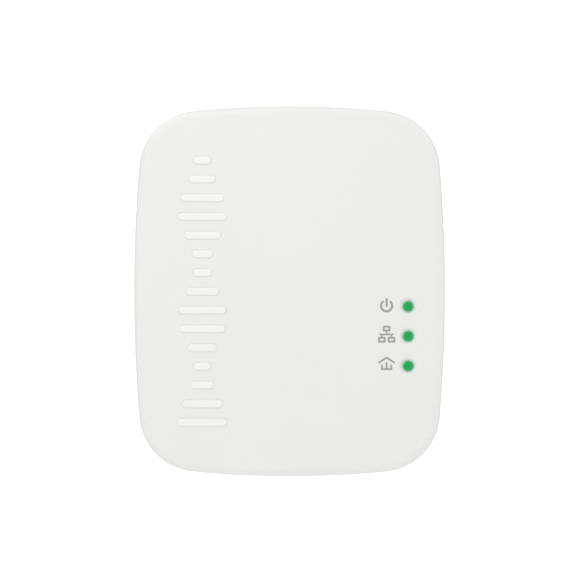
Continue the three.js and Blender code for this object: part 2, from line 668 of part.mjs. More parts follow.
// A network jack whose mouth looks down, with a latch channel on its board side.
function jackHousing() {
  const { x, width, backY, mouthZ, depth } = JACK;
  const body = block([x - width / 2, x + width / 2], [JACK_FRONT_Y, backY], [mouthZ, mouthZ + depth]);
  const port = block(
    [x - PORT.width / 2, x + PORT.width / 2],
    [PORT.frontY, PORT.backY],
    [mouthZ - 1, mouthZ + PORT.depth],
  );
  const latch = block(
    [x - PORT.latchWidth / 2, x + PORT.latchWidth / 2],
    [PORT.frontY - PORT.latchDepth, PORT.frontY + 1],
    [mouthZ - 1, mouthZ + PORT.depth - 3],
  );
  return cut(body, port, latch);
}

// The jack's insert: a comb block deep in the port that carries eight slanted contact wires.
function jackContacts() {
  const { count, pitch, size, length, slant } = CONTACT;
  const [wall, deep] = [PORT.backY - 0.1, JACK.mouthZ + PORT.depth - 0.1];
  const halfWidth = PORT.width / 2 - 0.2;
  const comb = block([-halfWidth, halfWidth], [wall - COMB.height, wall], [deep - COMB.length, deep]);
  const wires = Array.from({ length: count }, (_, i) => {
    const x = (i - (count - 1) / 2) * pitch;
    const wire = new THREE.BoxGeometry(size, size, length).rotateX(slant);
    return wire.translate(x, wall - 0.85, deep - COMB.length - length / 2 + 0.6);
  });
  return join(comb, ...wires).translate([JACK.x, 0, 0]);
}

// A toroidal choke lying flat, its axis along Y: its core, and a winding over one side.
function chokeRing(grow) {
  const { inner, outer, height } = CHOKE;
  const [r0, r1] = [inner - grow, outer + grow];
  const [low, high] = [-height / 2 - grow, height / 2 + grow];
  return turned([[r0, low], [r1, low], [r1, high], [r0, high], [r0, low]], 24);
}

function chokeWinding(side) {
  const coil = cut(chokeRing(CHOKE.wire), chokeRing(FIT));
  const reach = 20;
  const wedge = new THREE.Shape([
    new THREE.Vector2(side * 1.2, 0),
    new THREE.Vector2(side * reach, -reach * 1.3),
    new THREE.Vector2(side * reach, reach * 1.3),
  ]);
  return coil.intersect(asSolid(extrudeBack(wedge, reach).translate(0, -reach / 2, 0)));
}

// The flyback transformer's parts, centred on their own middle, with the winding axis along Z.
function flybackCore() {
  const { width, height, thickness, leg, window, windowHeight } = FLYBACK;
  const frame = block([-width / 2, width / 2], [-thickness / 2, thickness / 2], [-height / 2, height / 2]);
  const hollow = block([-window, window], [-5, 5], [-windowHeight / 2, windowHeight / 2]);
  const centre = rodY(leg, -height / 2 + 0.5, height / 2 - 0.5, 0, 0, 20).rotateX(Math.PI / 2);
  return join(cut(frame, hollow), centre);
}

function flybackBobbin() {
  const { leg, window, windowHeight } = FLYBACK;
  const [r0, r1, r2] = [leg + 0.15, leg + 0.45, window - 0.1];
  const top = windowHeight / 2 - 0.1;
  const profile = [[r0, -top], [r2, -top], [r2, 0.6 - top], [r1, 0.6 - top], [r1, top - 0.6]];
  const spool = turned([...profile, [r2, top - 0.6], [r2, top], [r0, top], [r0, -top]]);
  const rails = [-1, 1].map((end) => {
    const z = [end * (top - 0.5), end * (FLYBACK.height / 2)].sort((a, b) => a - b);
    return block([-6, 6], [FLYBACK.thickness / 2 + 0.1, 6.1], z);
  });
  return join(spool.rotateX(Math.PI / 2), ...rails);
}

function flybackWinding() {
  const { leg, window, windowHeight } = FLYBACK;
  const [r0, r1, top] = [leg + 0.5, window - 0.35, windowHeight / 2 - 0.75];
  return turned([[r0, -top], [r1, -top], [r1, top], [r0, top], [r0, -top]]).rotateX(Math.PI / 2);
}

// Two rows of square pins in a strip that stands on y = 0, and the socket they enter.
const headerPins = () =>
  Array.from({ length: HEADER.columns * HEADER.rows }, (_, i) => [
    ((i % HEADER.columns) - (HEADER.columns - 1) / 2) * HEADER.pitch,
    (Math.floor(i / HEADER.columns) - (HEADER.rows - 1) / 2) * HEADER.pitch,
  ]);
const headerHalf = [(HEADER.columns * HEADER.pitch) / 2, (HEADER.rows * HEADER.pitch) / 2];

function headerStrip() {
  const [w, h] = headerHalf;
  const base = block([-w, w], [-HEADER.base, 0], [-h, h]);
  const pins = headerPins().map(([x, z]) =>
    block([x - 0.32, x + 0.32], [-HEADER.pin, -1], [z - 0.32, z + 0.32]),
  );
  return join(base, ...pins);
}

function headerSocket(height) {
  const [w, h] = headerHalf;
  const holes = headerPins().map(([x, z]) =>
    block([x - 0.5, x + 0.5], [height - HEADER.depth, height + 1], [z - 0.5, z + 0.5]),
  );
  return cut(block([-w, w], [0, height], [-h, h]), ...holes);
}

// One clear moulding: three posts that reach the cover's holes, on a web in front of the lamps.
function lightPipe() {
  const web = { from: MAIN_BOARD.front - 2, to: MAIN_BOARD.front - 1.1 };
  const posts = LIGHT_Z.map((z) => {
    const tip = frontY(LIGHT.x, z) + LIGHT.tipDepth;
    return rodY(LIGHT.radius, tip, web.to, LIGHT.x, z);
  });
  const strip = block(
    [LIGHT.x - 1.2, LIGHT.x + 1.2],
    [web.from, web.to],
    [LIGHT_Z[2] - 1.6, LIGHT_Z[0] + 1.6],
  );
  return join(strip, ...posts);
}

// The foam block round the posts that keeps each lamp's light to its own hole.
function lightShroud() {
  const [from, to] = [FRONT_Y + WALL + 1.2, MAIN_BOARD.front - 2.1];
  const body = block([LIGHT.x - 1.9, LIGHT.x + 1.9], [from, to], [LIGHT_Z[2] - 2.2, LIGHT_Z[0] + 2.2]);
  return cut(body, ...LIGHT_Z.map((z) => rodY(LIGHT.radius + 0.15, from - 1, to + 1, LIGHT.x, z)));
}

// ---------------------------------------------------------------------------------------------
// Controls
// ---------------------------------------------------------------------------------------------

// The pairing button: a stadium cap with a dished face, on a flange that stays behind the wall.
// Its face looks along +X.
function pairButton() {
  const { length, width, faceX, backX, rim } = BUTTON;
  const travel = faceX - backX;
  const cap = new THREE.ExtrudeGeometry(stadium(length - 2 * rim, width - 2 * rim), {
    depth: travel - rim,
    bevelSize: rim,
    bevelThickness: rim,
    bevelSegments: 2,
    curveSegments: 4,
  });
  const [u, v, w] = [length / 2 + FLANGE.overlap, width / 2 + FLANGE.overlap, FLANGE.thickness / 2];
  const dish = new THREE.CylinderGeometry(DISH.radius, DISH.radius, 20, 36).rotateZ(Math.PI / 2);
  const dished = cut(cap, dish.translate(0, 0, travel + DISH.radius - DISH.depth));
  return geometryOf(join(dished, block([-u, u], [-v, v], [-w, w]))).rotateY(Math.PI / 2);
}

// ---------------------------------------------------------------------------------------------
// Assembly
// ---------------------------------------------------------------------------------------------

const adapter = new THREE.Group();

function place(name, shape, material, position = [0, 0, 0], rotation = [0, 0, 0], parent = adapter) {
  const mesh = new THREE.Mesh(geometryOf(shape), material);
  mesh.name = name;
  mesh.position.set(...position);
  mesh.rotation.set(...rotation);
  parent.add(mesh);
}

function placeHousing() {
  place("front_cover", frontCover(), FINISH.shell);
  place("rear_housing", rearHousing(), FINISH.shell);
  const label = extrudeBack(roundedRectangle(LABEL.width, LABEL.height, LABEL.corner), LABEL.thickness);
  place("rating_label", label, FINISH.label, [0, BACK_Y - LABEL.recess + FIT, LABEL.z]);
  POSTS.forEach(([x, z], i) => {
    place(`housing_screw_${i + 1}`, screw(SCREW), FINISH.steel, [x, SCREW.seatY + FIT, z]);
  });
}

function placePlug() {
  ["line", "neutral"].forEach((side, i) => {
    place(`${side}_pin`, plugPin(), FINISH.nickel, [PIN_X[i], 0, 0]);
    place(`${side}_pin_sleeve`, pinSleeve(), FINISH.sleeve, [PIN_X[i], 0, 0]);
    place(`${side}_lead`, lead(LEADS[side]), i === 0 ? FINISH.wireBrown : FINISH.wireBlue);
  });
  place("pin_clamp", pinClamp(), FINISH.epoxy);
  place("pin_clamp_screw", screw(CLAMP_SCREW), FINISH.steel, [0, CLAMP.from - FIT, 0], [Math.PI, 0, 0]);
}

function placeMainBoard() {
  const at = ([x, z], lift = 0) => [x, MAIN_BOARD.front - lift, z];
  place("main_board", boardPlate(MAIN_BOARD, POST.coverRadius + 0.5), FINISH.board);
  const padLift = PROCESSOR.thickness + FIT;
  const sinkLift = padLift + THERMAL_PAD.thickness + 3 * FIT;
  place("processor_chip", standingBox(PROCESSOR), FINISH.black, at(PROCESSOR.at));
  place("thermal_pad", standingBox(THERMAL_PAD), FINISH.pad, at(PROCESSOR.at, padLift));
  place("heat_sink", heatSink(HEAT_SINK), FINISH.aluminium, at(PROCESSOR.at, sinkLift));
  place("memory_chip", leggedChip(MEMORY), FINISH.black, at(MEMORY.at));
  place("flash_chip", leggedChip(FLASH), FINISH.black, at(FLASH.at));
  place("crystal", standingBox(CRYSTAL), FINISH.aluminium, at(CRYSTAL.at));
  const transformer = leggedChip(LAN_TRANSFORMER);
  place("lan_transformer", transformer, FINISH.black, at(LAN_TRANSFORMER.at), [0, Math.PI / 2, 0]);
  ["power", "ethernet", "powerline"].forEach((role, i) => {
    place(`${role}_led`, standingBox(LAMP), FINISH.ledChip, at([LIGHT.x, LIGHT_Z[i]]));
  });
  place("light_pipe", lightPipe(), FINISH.clear);
  place("light_shroud", lightShroud(), FINISH.foam);
  place("rj45_housing", jackHousing(), FINISH.black);
  place("rj45_contacts", jackContacts(), FINISH.gold);
  const [x, z] = HEADER.at;
  place("board_socket", headerSocket(SOCKET_HEIGHT), FINISH.black, [x, MAIN_BOARD.back + FIT, z]);
}

function placePowerBoard() {
  const at = ([x, z], lift = 0) => [x, POWER_BOARD.front - lift, z];
  place("power_board", powerPlate(), FINISH.board);
  place("board_header", headerStrip(), FINISH.black, at(HEADER.at, FIT));
  place("mains_fuse", electrolytic(FUSE), FINISH.black, at(FUSE.at));
  place("varistor", disc(VARISTOR), FINISH.blueDisc, at(VARISTOR.at, VARISTOR.lift));
  place("x_capacitor", standingBox(X_CAPACITOR), FINISH.film, at(X_CAPACITOR.at));
  place("y_capacitor", disc(Y_CAPACITOR), FINISH.blueDisc, at(Y_CAPACITOR.at, Y_CAPACITOR.lift));
  place("bridge_rectifier", leggedChip(RECTIFIER), FINISH.black, at(RECTIFIER.at));

  const chokePlace = at(CHOKE.at, CHOKE.height / 2 + CHOKE.wire + 0.1);
  place("choke_core", chokeRing(0), FINISH.ferrite, chokePlace);
  place("choke_winding_line", chokeWinding(-1), FINISH.copper, chokePlace);
  place("choke_winding_neutral", chokeWinding(1), FINISH.copper, chokePlace);

  const flyback = new THREE.Group();
  flyback.position.set(...FLYBACK_PLACE);
  adapter.add(flyback);
  place("flyback_core", flybackCore(), FINISH.ferrite, [0, 0, 0], [0, 0, 0], flyback);
  place("flyback_bobbin", flybackBobbin(), FINISH.bobbin, [0, 0, 0], [0, 0, 0], flyback);
  place("flyback_winding", flybackWinding(), FINISH.tape, [0, 0, 0], [0, 0, 0], flyback);

  place("power_controller", leggedChip(CONTROLLER), FINISH.black, at(CONTROLLER.at));
  const lying = [0, 0, Math.PI / 2];
  place("bulk_capacitor", electrolytic(BULK_CAPACITOR), FINISH.can, BULK_CAPACITOR.place, lying);
  place("output_capacitor", electrolytic(OUTPUT_CAPACITOR), FINISH.can, at(OUTPUT_CAPACITOR.at));
  place("optocoupler", leggedChip(OPTOCOUPLER), FINISH.black, at(OPTOCOUPLER.at));
  place("coupling_transformer", couplingTransformer(), FINISH.ferrite, at(COUPLING.at));
}

// The sheet that keeps the mains side of the power board away from the main board.
function placeInsulation() {
  const { width, height, corner, thickness, x, z, gap } = INSULATION;
  const sheet = extrudeBack(roundedRectangle(width, height, corner), thickness);
  place("insulation_sheet", sheet, FINISH.sheet, [x, MAIN_BOARD.back + gap, z]);
}

function placeControls() {
  place("pair_button", pairButton(), FINISH.shell, [BUTTON.backX, BUTTON.y, BUTTON.z]);
  const alongX = (rod) => rod.rotateZ(-Math.PI / 2).translate(0, BUTTON.y, BUTTON.z);
  const { x, y, z, tipX } = SWITCH;
  const { radius, hole, holeDepth } = SWITCH_PLUNGER;
  const body = cut(block(x, y, z), alongX(rodY(hole, x[1] - holeDepth, x[1] + 1)));
  place("pair_switch_body", body, FINISH.black);
  place("pair_switch_plunger", alongX(rodY(radius, x[1] - 0.5, tipX)), FINISH.epoxy);

  const alongZ = (rod) => rod.rotateX(Math.PI / 2).translate(RESET.x, RESET.y, 0);
  const reset = RESET_SWITCH;
  const low = reset.z[0];
  const half = reset.width / 2;
  const box = block([RESET.x - half, RESET.x + half], [MAIN_BOARD.back + FIT, reset.backY], reset.z);
  const inner = RESET_PLUNGER;
  const resetBody = cut(box, alongZ(rodY(inner.hole, low - 1, low + inner.holeDepth, 0, 0, 16)));
  place("reset_switch_body", resetBody, FINISH.black);
  const plunger = rodY(inner.radius, RESET.tipZ, low + inner.holeDepth - 0.4, 0, 0, 16);
  place("reset_switch_plunger", alongZ(plunger), FINISH.epoxy);
}

placeHousing();
placePlug();
placeMainBoard();
placePowerBoard();
placeInsulation();
placeControls();

export default adapter;
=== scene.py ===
# Looks of the plug-in powerline adapter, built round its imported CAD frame.
# Pins along +Y, front face towards -Y, +Z up. Shapes are worked out in millimetres
# and become metres when a mesh is made.
import json
from math import atan2, cos, hypot, pi, radians, sin, sqrt

import bmesh
import bpy
from mathutils import Matrix, Vector
from mathutils.geometry import delaunay_2d_cdt

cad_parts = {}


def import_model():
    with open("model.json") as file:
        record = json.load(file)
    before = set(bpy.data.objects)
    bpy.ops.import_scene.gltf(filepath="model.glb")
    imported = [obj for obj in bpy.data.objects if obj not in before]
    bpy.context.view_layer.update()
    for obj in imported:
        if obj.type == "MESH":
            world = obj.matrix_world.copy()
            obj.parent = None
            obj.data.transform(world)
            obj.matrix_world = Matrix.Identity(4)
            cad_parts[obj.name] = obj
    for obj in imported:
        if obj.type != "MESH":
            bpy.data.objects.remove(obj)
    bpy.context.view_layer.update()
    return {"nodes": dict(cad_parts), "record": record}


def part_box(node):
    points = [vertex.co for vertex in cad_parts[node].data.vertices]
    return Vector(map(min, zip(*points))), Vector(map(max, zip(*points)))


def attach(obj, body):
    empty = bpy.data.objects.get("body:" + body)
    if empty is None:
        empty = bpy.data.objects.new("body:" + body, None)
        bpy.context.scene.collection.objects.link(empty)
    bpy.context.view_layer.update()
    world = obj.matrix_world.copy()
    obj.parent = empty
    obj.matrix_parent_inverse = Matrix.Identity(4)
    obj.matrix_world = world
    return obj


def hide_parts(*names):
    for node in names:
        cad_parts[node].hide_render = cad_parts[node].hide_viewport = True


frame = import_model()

MM = 0.001
MATERIALS = {}  # by name; most names are the record's material slots
REPLACED = set()  # CAD nodes that a finished piece stands for


class Box:
    """The box of a CAD node, in millimetres."""

    def __init__(self, node):
        low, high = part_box(node)
        self.low, self.high = low / MM, high / MM
        self.middle = (self.low + self.high) / 2
        self.size = self.high - self.low


# ---------- sizes
COVER = Box("front_cover")
BUTTON = Box("pair_button")
JACK = Box("rj45_housing")
LABEL = Box("rating_label")
PIPE = Box("light_pipe")
RESET = Box("reset_switch_plunger")

HALF_X = COVER.high.x
HALF_Z = COVER.size.z / 2
CENTRE_Z = COVER.middle.z
TOP_RADIUS = 172.0  # the bulge of the top and bottom sides
SIDE_RADIUS = 273.0  # the bulge of the left and right sides
CORNER_RADIUS = 10.7
STEPS = {"side": 20, "corner": 16, "top": 20}  # straight pieces along each arc

FRONT_Y = -45.0  # the crown's highest point
BACK_Y = -17.0  # the back plane, where the plug boss starts
SPLIT_Y = -36.0  # the joint line
SPLIT_GAP = 0.4
CROWN_X, CROWN_Z = 0.8, 1.1
WALL = 2.0
DRAFT, EDGE = 0.25, 1.2  # of the cover's side and front edge
TAPER, ROUND, POWER = 1.0, 4.0, 7  # of the rear shell
LIP_INSET, LIP_LENGTH = 1.15, 2.0

POST_X, POST_Z = 18.0, 23.5
POSTS = [(sx * POST_X, CENTRE_Z + sz * POST_Z) for sx in (-1, 1) for sz in (-1, 1)]
POST_MEET_Y = -30.0
BOARD_FRONT_Y = -37.65  # where the cover's pads press on the main board

BAR = {"x": -15.65, "count": 15, "span": 47.0, "width": 1.3, "long": 8.8, "short": 3.0}
BAR_HEIGHT = 0.22
BAR_WAVES = 2.5

LIGHT_X = PIPE.middle.x
LIGHT_PITCH = 5.33
LIGHT_MARGIN = 1.6  # from the light pipe's web end to its nearest post
LIGHT_Z = [PIPE.high.z - LIGHT_MARGIN - i * LIGHT_PITCH for i in range(3)]
HOLE_RADIUS, SINK_RADIUS, POST_RADIUS, GLOW_RADIUS = 1.0, 1.65, 0.97, 0.875

VENT = {"width": 1.3, "length": 9.0, "pitch": 2.6, "y": -26.0, "count": 9}
LOUVRE = {"width": 1.38, "rise": 0.76, "left": (-1, 12, -4.0), "right": (1, 7, -11.7)}
PIN_X = 9.5
BOSS = {"width": 17.65, "height": 6.85, "flat": 11.4, "nose": 2.1, "corner": 1.2, "wall": 1.8}
BOSS_FLOOR_Y = -3.0


# ---------- outlines, as (u, v) points
def moved(line, u, v):
    return [(u + a, v + b) for a, b in line]


def quarter(steps, start=0.0):
    """Pairs of 1 - cosine and 1 - sine from an angle to a right angle, for rounded edges."""
    angles = [start + (pi / 2 - start) * k / steps for k in range(steps + 1)]
    return [(1 - cos(angle), 1 - sin(angle)) for angle in angles]


def circle(radius, count=32):
    return [(radius * cos(a), radius * sin(a))
            for a in (2 * pi * i / count for i in range(count))]


def capsule(start, end, width, steps=8):
    """The outline of a straight stroke with round ends."""
    start, end = Vector(start), Vector(end)
    heading = atan2(end.y - start.y, end.x - start.x)
    points = []
    for centre, turn in ((end, -pi / 2), (start, pi / 2)):
        for i in range(steps + 1):
            angle = heading + turn + pi * i / steps
            points.append((centre.x + width / 2 * cos(angle), centre.y + width / 2 * sin(angle)))
    return points


def strokes(points, width):
    """One outline for each straight stroke along a line of points."""
    return [capsule(a, b, width) for a, b in zip(points, points[1:])]


def stadium(length, width, steps=10):
    """A slot with round ends, its long side along u."""
    reach = (length - width) / 2
    return capsule((-reach, 0.0), (reach, 0.0), width, steps)


def rounded_polygon(corners, radius, steps=6):
    """Corner points with each corner turned into a curve that starts radius before it."""
    points = []
    for i, corner in enumerate(corners):
        corner = Vector(corner)
        before = Vector(corners[i - 1])
        after = Vector(corners[(i + 1) % len(corners)])
        start = corner + (before - corner).normalized() * radius
        end = corner + (after - corner).normalized() * radius
        for k in range(steps + 1):
            t = k / steps
            points.append(tuple(start.lerp(corner, t).lerp(corner.lerp(end, t), t)))
    return points


def rectangle(width, height):
    u, v = width / 2, height / 2
    return [(-u, -v), (u, -v), (u, v), (-u, v)]


def rounded_rectangle(width, height, radius):
    return rounded_polygon(rectangle(width, height), radius)


# ---------- meshes
def at_y(line, y):
    """A ring at one depth from an outline in x and z."""
    return [(x, y, z) for x, z in line]


def merge(*parts):
    """Several (points, faces) pairs as one."""
    points, faces = [], []
    for part_points, part_faces in parts:
        start = len(points)
        points += part_points
        faces += [tuple(start + i for i in face) for face in part_faces]
    return points, faces


def make_object(name, shape, join_within=1e-4):
    """An object whose faces all point outwards. Points closer than join_within mm become one."""
    points, faces = shape
    mesh = bpy.data.meshes.new(name)
    mesh.from_pydata([Vector(p) * MM for p in points], [], faces)
    bm = bmesh.new()
    bm.from_mesh(mesh)
    bmesh.ops.remove_doubles(bm, verts=bm.verts, dist=join_within * MM)
    bmesh.ops.recalc_face_normals(bm, faces=bm.faces)
    bm.to_mesh(mesh)
    bm.free()
    made = bpy.data.objects.new(name, mesh)
    bpy.context.scene.collection.objects.link(made)
    return made


def loft(rings, caps=True, closed=False):
    """A skin through rings of equal count, with flat caps or its last ring joined to its first."""
    count = len(rings[0])
    points = [Vector(p) for ring in rings for p in ring]
    faces = []
    for k in range(len(rings) if closed else len(rings) - 1):
        a, b = k * count, (k + 1) % len(rings) * count
        for i in range(count):
            j = (i + 1) % count
            faces.append((a + i, a + j, b + j, b + i))
    if caps and not closed:
        faces += [tuple(range(count)), tuple(range(len(points) - count, len(points)))]
    return points, faces


def turned(profile, x=0.0, z=0.0, count=48, closed=False):
    """A piece turned about an axis along Y. profile is a list of (radius, y)."""
    rings = [at_y(moved(circle(max(radius, 0.001), count), x, z), y) for radius, y in profile]
    return loft(rings, closed=closed)


def triangulate(lines, spare=(), precision=1e-6):
    """Triangles in x and z that keep every outline's edges. Gives the points, the triangles, which
    given points each point stands for, and which outlines each triangle lies in."""
    points, edges, faces = [], [], []
    for line in lines:
        start, count = len(points), len(line)
        points.extend(Vector(p) for p in line)
        edges.extend((start + i, start + (i + 1) % count) for i in range(count))
        faces.append(list(range(start, start + count)))
    points.extend(Vector(p) for p in spare)
    found, _, triangles, origins, _, owners = delaunay_2d_cdt(points, edges, faces, 0, precision)
    return found, triangles, origins, owners


def sheet(name, outlines, low, high):
    """A thin closed plate that is the union of flat outlines. low and high give y from x and z."""
    flat, triangles, _, owners = triangulate(outlines, precision=1e-5)
    kept = [tuple(t) for t, owner in zip(triangles, owners) if owner]
    count = len(flat)
    solid = [(p.x, low(p.x, p.y), p.y) for p in flat] + [(p.x, high(p.x, p.y), p.y) for p in flat]
    sides = [(a, b) for t in kept for a, b in zip(t, t[1:] + t[:1])]
    rim = set(sides) - {(b, a) for a, b in sides}
    tops = sorted(tuple(reversed(t)) for t in kept)
    bottoms = sorted(tuple(i + count for i in t) for t in kept)
    walls = sorted((b, a, a + count, b + count) for a, b in rim)
    used = sorted({i for face in tops + bottoms + walls for i in face})
    place = {old: new for new, old in enumerate(used)}
    faces = [tuple(place[i] for i in face) for face in tops + bottoms + walls]
    return make_object(name, ([solid[i] for i in used], faces))


def boolean(target, *steps):
    """Joins and cuts, in order. Each step is ("UNION" or "DIFFERENCE", (points, faces))."""
    tools = []
    for operation, shape in steps:
        tool = make_object(f"{target.name}_tool", shape)
        tools.append(tool)
        modifier = target.modifiers.new(operation, "BOOLEAN")
        modifier.operation = operation
        modifier.object = tool
        modifier.solver = "MANIFOLD"
    bpy.context.view_layer.update()
    graph = bpy.context.evaluated_depsgraph_get()
    mesh = bpy.data.meshes.new_from_object(target.evaluated_get(graph))
    mesh.materials.clear()
    target.modifiers.clear()
    target.data = mesh
    for tool in tools:
        bpy.data.objects.remove(tool)


def soften(target, sharp_degrees=30.0, weighted=False):
    """Smooth shading, with edges sharper than an angle kept crisp."""
    mesh = target.data
    mesh.polygons.foreach_set("use_smooth", [True] * len(mesh.polygons))
    mesh.set_sharp_from_angle(angle=radians(sharp_degrees))
    if weighted:
        modifier = target.modifiers.new("even_shading", "WEIGHTED_NORMAL")
        modifier.keep_sharp = True
        modifier.weight = 80


def two_finishes(piece, first, second, is_second):
    """Gives a piece two materials. is_second takes a face's centre and says which one it gets."""
    for name in (first, second):
        piece.data.materials.append(MATERIALS[name])
    for polygon in piece.data.polygons:
        polygon.material_index = int(is_second(*(polygon.center / MM)))


def dress(piece, body, slot, replaced=None, finish=None):
    """Puts a finished piece on its body, with its slot's material unless it has its own."""
    if not piece.data.materials:
        piece.data.materials.append(MATERIALS[finish or slot])
    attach(piece, body)
    if replaced:
        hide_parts(replaced)
        REPLACED.add(replaced)


# ---------- the body's outline and skins
def corner_centre():
    """Centre of the corner arc that touches the side arc and the top arc from inside."""
    side = Vector((HALF_X - SIDE_RADIUS, 0.0))
    top = Vector((0.0, HALF_Z - TOP_RADIUS))
    from_side = SIDE_RADIUS - CORNER_RADIUS
    from_top = TOP_RADIUS - CORNER_RADIUS
    span = (top - side).length
    along = (from_side ** 2 - from_top ** 2 + span ** 2) / (2 * span)
    across = sqrt(from_side ** 2 - along ** 2)
    direction = (top - side) / span
    return side + direction * along + Vector((-direction.y, direction.x)) * across


CORNER = corner_centre()


def outline(inset):
    """The outline as eight arcs, as (x, z) from the face's centre, set in by inset."""
    side_x, top_z = HALF_X - SIDE_RADIUS, HALF_Z - TOP_RADIUS
    low = atan2(CORNER.y, CORNER.x - side_x)
    high = atan2(CORNER.y - top_z, CORNER.x)
    side, top, corner = SIDE_RADIUS - inset, TOP_RADIUS - inset, CORNER_RADIUS - inset
    arcs = [
        (side_x, 0, side, -low, low, STEPS["side"]),
        (CORNER.x, CORNER.y, corner, low, high, STEPS["corner"]),
        (0, top_z, top, high, pi - high, STEPS["top"]),
        (-CORNER.x, CORNER.y, corner, pi - high, pi - low, STEPS["corner"]),
        (-side_x, 0, side, pi - low, pi + low, STEPS["side"]),
        (-CORNER.x, -CORNER.y, corner, pi + low, pi + high, STEPS["corner"]),
        (0, -top_z, top, pi + high, 2 * pi - high, STEPS["top"]),
        (CORNER.x, -CORNER.y, corner, -high, -low, STEPS["corner"]),
    ]
    points = []
    for x, z, radius, start, end, count in arcs:
        for i in range(count):
            angle = start + (end - start) * i / count
            points.append((x + radius * cos(angle), z + radius * sin(angle)))
    return points


def face_y(x, z):
    """The crowned front face."""
    return FRONT_Y + CROWN_X * (x / HALF_X) ** 2 + CROWN_Z * ((z - CENTRE_Z) / HALF_Z) ** 2


def ring(inset, depth):
    """One ring of a skin. depth is a y value, or a function of x and z that gives one."""
    line = moved(outline(inset), 0.0, CENTRE_Z)
    return [(x, depth(x, z) if callable(depth) else depth, z) for x, z in line]


def rounded_edge(outer_inset, radius, steps, face):
    """Rings round a convex edge, from the face to the side. face gives y from x and z."""
    return [ring(outer_inset + radius * across, lambda x, z, rise=rise: face(x, z) + radius * rise)
            for across, rise in reversed(quarter(steps))]


def rear_inset(y):
    """How far the rear shell's wall is set in at a depth."""
    share = min(max((y - SPLIT_Y) / (BACK_Y - SPLIT_Y), 0.0), 1.0)
    return TAPER * share + ROUND * (1 - sqrt(1 - share ** POWER))


# ---------- front cover
# Contour lines of a raised bar: (distance in from its foot, share of its full height).
BAR_CONTOURS = [(-0.3, 0.0), (-0.14, 0.0), (-0.08, -0.3), (-0.03, -0.3), (0.04, 0.72), (0.09, 0.92),
                (0.17, 1.0), (0.3, 1.0)]
# Contour lines of a light's countersink: (radius, depth below the face). The last is the hole.
SINK_CONTOURS = [
    (SINK_RADIUS + 0.3, 0.0), (SINK_RADIUS + 0.08, 0.0), (SINK_RADIUS, 0.015), (SINK_RADIUS - 0.2, 0.14),
    (SINK_RADIUS - 0.4, 0.38), (HOLE_RADIUS + 0.08, 0.66), (HOLE_RADIUS, 0.8),
]
SINK_DEPTH = SINK_CONTOURS[-1][1]
GRID_PITCH = 1.5
CLEARANCE = 0.75  # no grid point lies closer than this to the edge or to a bar
LIGHT_CLEARANCE = SINK_RADIUS + 1.1


def bars():
    """Centre z and length of each raised bar, from top to bottom."""
    made = []
    for i in range(BAR["count"]):
        share = i / (BAR["count"] - 1)
        swell = 0.5 - 0.5 * cos(2 * pi * BAR_WAVES * share)
        length = BAR["short"] + (BAR["long"] - BAR["short"]) * swell
        made.append((CENTRE_Z + BAR["span"] * (0.5 - share), length))
    return made


def bar_distance(x, z, bar_z, length):
    """How far inside a bar's foot a point of the face lies; negative outside."""
    reach = (length - BAR["width"]) / 2
    beside = max(abs(x - BAR["x"]) - reach, 0.0)
    return BAR["width"] / 2 - hypot(beside, z - bar_z)


def face_grid(inset):
    """Grid points of the face that stay clear of its edge, the bars and the lights."""
    room = inset + CLEARANCE
    raised = bars()

    def is_clear(x, dz):
        z = CENTRE_Z + dz
        inside_sides = hypot(abs(x) - HALF_X + SIDE_RADIUS, dz) < SIDE_RADIUS - room
        inside_ends = hypot(x, abs(dz) - HALF_Z + TOP_RADIUS) < TOP_RADIUS - room
        in_corner = abs(x) > CORNER.x and abs(dz) > CORNER.y
        round_corner = hypot(abs(x) - CORNER.x, abs(dz) - CORNER.y) < CORNER_RADIUS - room
        off_bars = all(bar_distance(x, z, *bar) < -CLEARANCE for bar in raised)
        off_lights = all(hypot(x - LIGHT_X, z - light_z) > LIGHT_CLEARANCE for light_z in LIGHT_Z)
        return inside_sides and inside_ends and (round_corner or not in_corner) and off_bars and off_lights

    columns, rows = int(HALF_X / GRID_PITCH), int(HALF_Z / GRID_PITCH)
    grid = [(i * GRID_PITCH, j * GRID_PITCH)
            for i in range(-columns, columns + 1) for j in range(-rows, rows + 1)]
    return [(x, CENTRE_Z + dz) for x, dz in grid if is_clear(x, dz)]


def light_ring(radius, z):
    return moved(circle(radius, 40), LIGHT_X, z)


def relief():
    """Contour lines of the raised bars and the countersinks, as (line, height) pairs."""
    contours = []
    for z, length in bars():
        for inward, share in BAR_CONTOURS:
            line = stadium(length - 2 * inward, BAR["width"] - 2 * inward, 9)
            contours.append((moved(line, BAR["x"], z), -share * BAR_HEIGHT))
    for z in LIGHT_Z:
        contours += [(light_ring(radius, z), depth) for radius, depth in SINK_CONTOURS[:-1]]
    return contours


def face_skin(inset, depth, contours, hole_depth):
    """A sheet that follows the face at a depth, with contour lines and open light holes."""
    lines = [(moved(outline(inset), 0.0, CENTRE_Z), 0.0)] + contours
    lines += [(light_ring(HOLE_RADIUS, z), hole_depth) for z in LIGHT_Z]
    holes = set(range(len(lines) - len(LIGHT_Z), len(lines)))
    spare = face_grid(inset)
    heights = [height for line, height in lines for _ in line] + [0.0] * len(spare)
    flat, triangles, origins, owners = triangulate([line for line, _ in lines], spare)
    points = []
    for p, origin in zip(flat, origins):
        height = max((heights[k] for k in origin), key=abs, default=0.0)
        points.append((p.x, face_y(p.x, p.y) + depth + height, p.y))
    return points, [t for t, owner in zip(triangles, owners) if 0 in owner and not holes & set(owner)]


def light_tube(z):
    """The wall of a light hole, from its countersink to the inner face."""
    line = light_ring(HOLE_RADIUS, z)
    rings = [[(x, face_y(x, z) + depth, z) for x, z in line] for depth in (SINK_DEPTH, WALL)]
    return loft(rings, caps=False)


